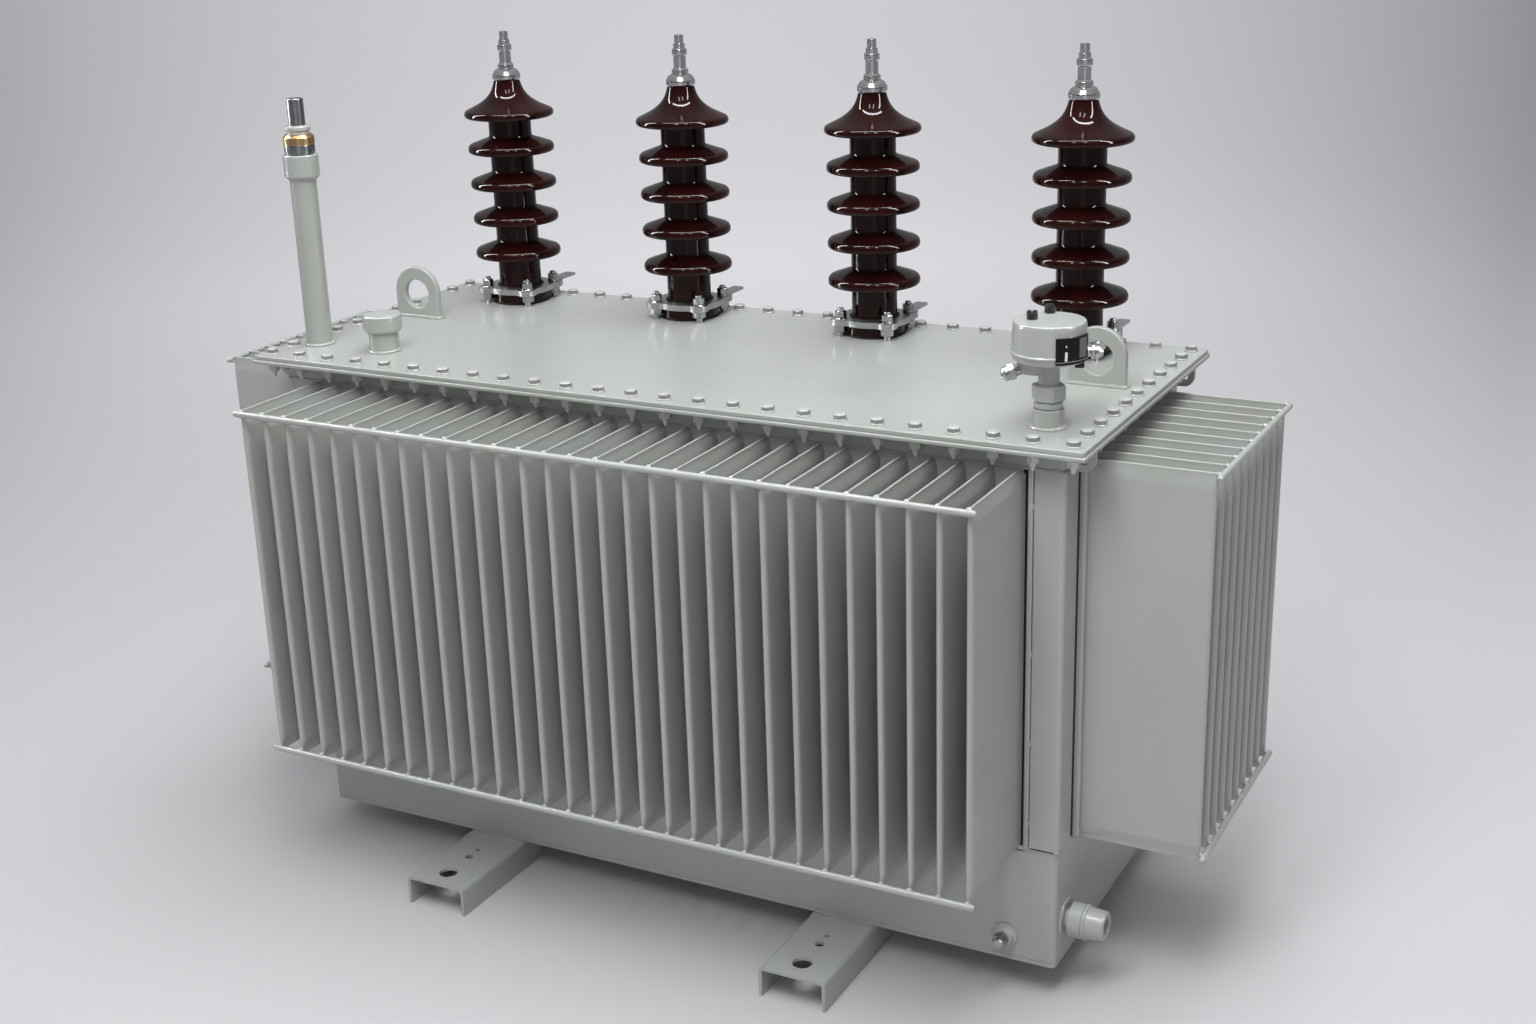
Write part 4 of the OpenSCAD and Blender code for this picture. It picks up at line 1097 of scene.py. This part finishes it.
knob_outline = ((0, 0, 0), (8, 0, 0), (8.5, 1.5, 0.5), (8.5, 10, 0.6),
                (7.5, 10.5, 0.5), (7, 9, 0.5), (0, 9, 0))
knob_wing = ((1.6 * mm, -7.4 * mm), (8.0 * mm, -2.6 * mm), (8.0 * mm, 2.6 * mm), (1.6 * mm, 7.4 * mm))
half_turn = Matrix.Rotation(math.pi, 4, "Z")
knobs = bmesh.new()
for degrees, offset in ((200, 27 * mm), (110, 43 * mm)):
    seat = round_about(relay_axis, degrees, offset, drum_top)
    lathe(knobs, knob_outline, seat, 32)
    for wing_place in (seat @ half_turn, seat):
        plate(knobs, [knob_wing], 8 * mm, 13 * mm, 0.5 * mm, wing_place)
fit_piece("test_knobs", knobs, moulded, "black_plastic", "relay_knobs")
bracket_half = 7 * mm
bracket = bmesh.new()
bracket_place = round_about(relay_axis, 20, 46 * mm, drum_low)
bracket_outline = rectangle(-bracket_half, -bracket_half, bracket_half, bracket_half)
plate(bracket, [bracket_outline], -13 * mm, 0.5 * mm, 1 * mm, bracket_place)
fit_piece("relay_bracket", bracket, moulded, "black_plastic")
glands = bmesh.new()
level_out = Matrix.Rotation(math.radians(90), 4, "Y")
downward = Matrix.Rotation(math.radians(105), 4, "Y")
box_gland = round_about(box_place, 215, 0.0, drum_low - 12 * mm) @ downward
lathe(glands, ((0, 20, 0), (9, 20, 0), (9, 36, 0.5), (0, 36, 0)), box_gland, 32)
hexagon(glands, 24 * mm, 35 * mm, 46 * mm, box_gland, 0.1, 0.07)
lathe(glands, ((0, 46, 0), (11.5, 46, 0.5), (12, 52, 2), (9, 56, 3), (6, 56, 0.5), (5.5, 48, 0), (0, 48, 0)),
      box_gland, 32)
side_gland = round_about(relay_axis, 20, 0.0, drum_low + 11 * mm) @ level_out
lathe(glands, ((0, 50, 0), (8, 50, 0), (8, 66, 0.5), (0, 66, 0)), side_gland, 32)
hexagon(glands, 19 * mm, 63 * mm, 69 * mm, side_gland, 0.1, 0.05)
lathe(glands, ((0, 69, 0), (10, 69, 1), (10.3, 75, 5), (6.5, 81.5, 4), (0, 82, 0)), side_gland, 32)
fit_piece("cable_glands", glands, alloy, "bright_metal", "relay_glands")

# Drain valve
# A plate ring is welded on the end of the skirt, with the valve's body, a ring and a tapered cap
# screwed on one after the other, all painted, and an open end.
low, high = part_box("drain_valve")
drain_place = (Matrix.Translation((low.x, (low.y + high.y) / 2, (low.z + high.z) / 2))
               @ Matrix.Rotation(math.pi / 2, 4, "Y"))
mouth = (high.x - low.x) / mm
bore_end = mouth - 26
drain = bmesh.new()
lathe(drain, ((0, 0, 0), (32.5, 0, 0.5), (32.5, 4, 1.2), (18, 4, 1), (18, 11, 0.8), (29.5, 11, 2),
              (29.5, 33, 2), (27, 35, 0.5), (30.5, 36, 1.2), (30.5, 40, 1.2), (27.5, 41, 0.8), (25, mouth, 5),
              (14.5, mouth, 1.5), (14.5, bore_end, 0), (0, bore_end, 0)), drain_place)
ring_weld(drain, drain_place, 33 * mm, 1 * mm, 5 * mm)
fit_piece("drain_tap", drain, enamel, "paint", "drain_valve")

# Earth terminal
# A disc and a boss are welded on the front of the skirt and painted. A bare stud with a nut stands
# out of the boss to clamp the earthing cable.
low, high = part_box("earth_terminal")
earth_place = (Matrix.Translation(((low.x + high.x) / 2, high.y, (low.z + high.z) / 2))
               @ Matrix.Rotation(math.pi / 2, 4, "X"))
stud_tip = (high.y - low.y) / mm
earth_nut_across = 24 * mm
earth_nut_low = 14 * mm
earth_nut_high = 25 * mm
earth = bmesh.new()
lathe(earth, ((0, 0, 0), (22.5, 0, 0.5), (22.5, 5, 2), (18, 7, 2), (16.5, 14, 1.5), (12, 14.5, 0.5),
              (0, 14, 0)), earth_place)
fit_piece("earth_boss", earth, enamel, "paint", "earth_terminal")
earth_nut = bmesh.new()
nut_place = earth_place @ Matrix.Rotation(math.radians(12), 4, "Z")
hexagon(earth_nut, earth_nut_across, earth_nut_low, earth_nut_high, nut_place, foot_cut=0.07)
fit_piece("earth_nut", earth_nut, steel, "dark_steel")
earth_stud = bmesh.new()
lathe(earth_stud, ((0, 24, 0), (8, 24, 0), (8, stud_tip, 1.5), (0, stud_tip, 0)), earth_place, 32)
fit_piece("earth_stud", earth_stud, alloy, "bright_metal")
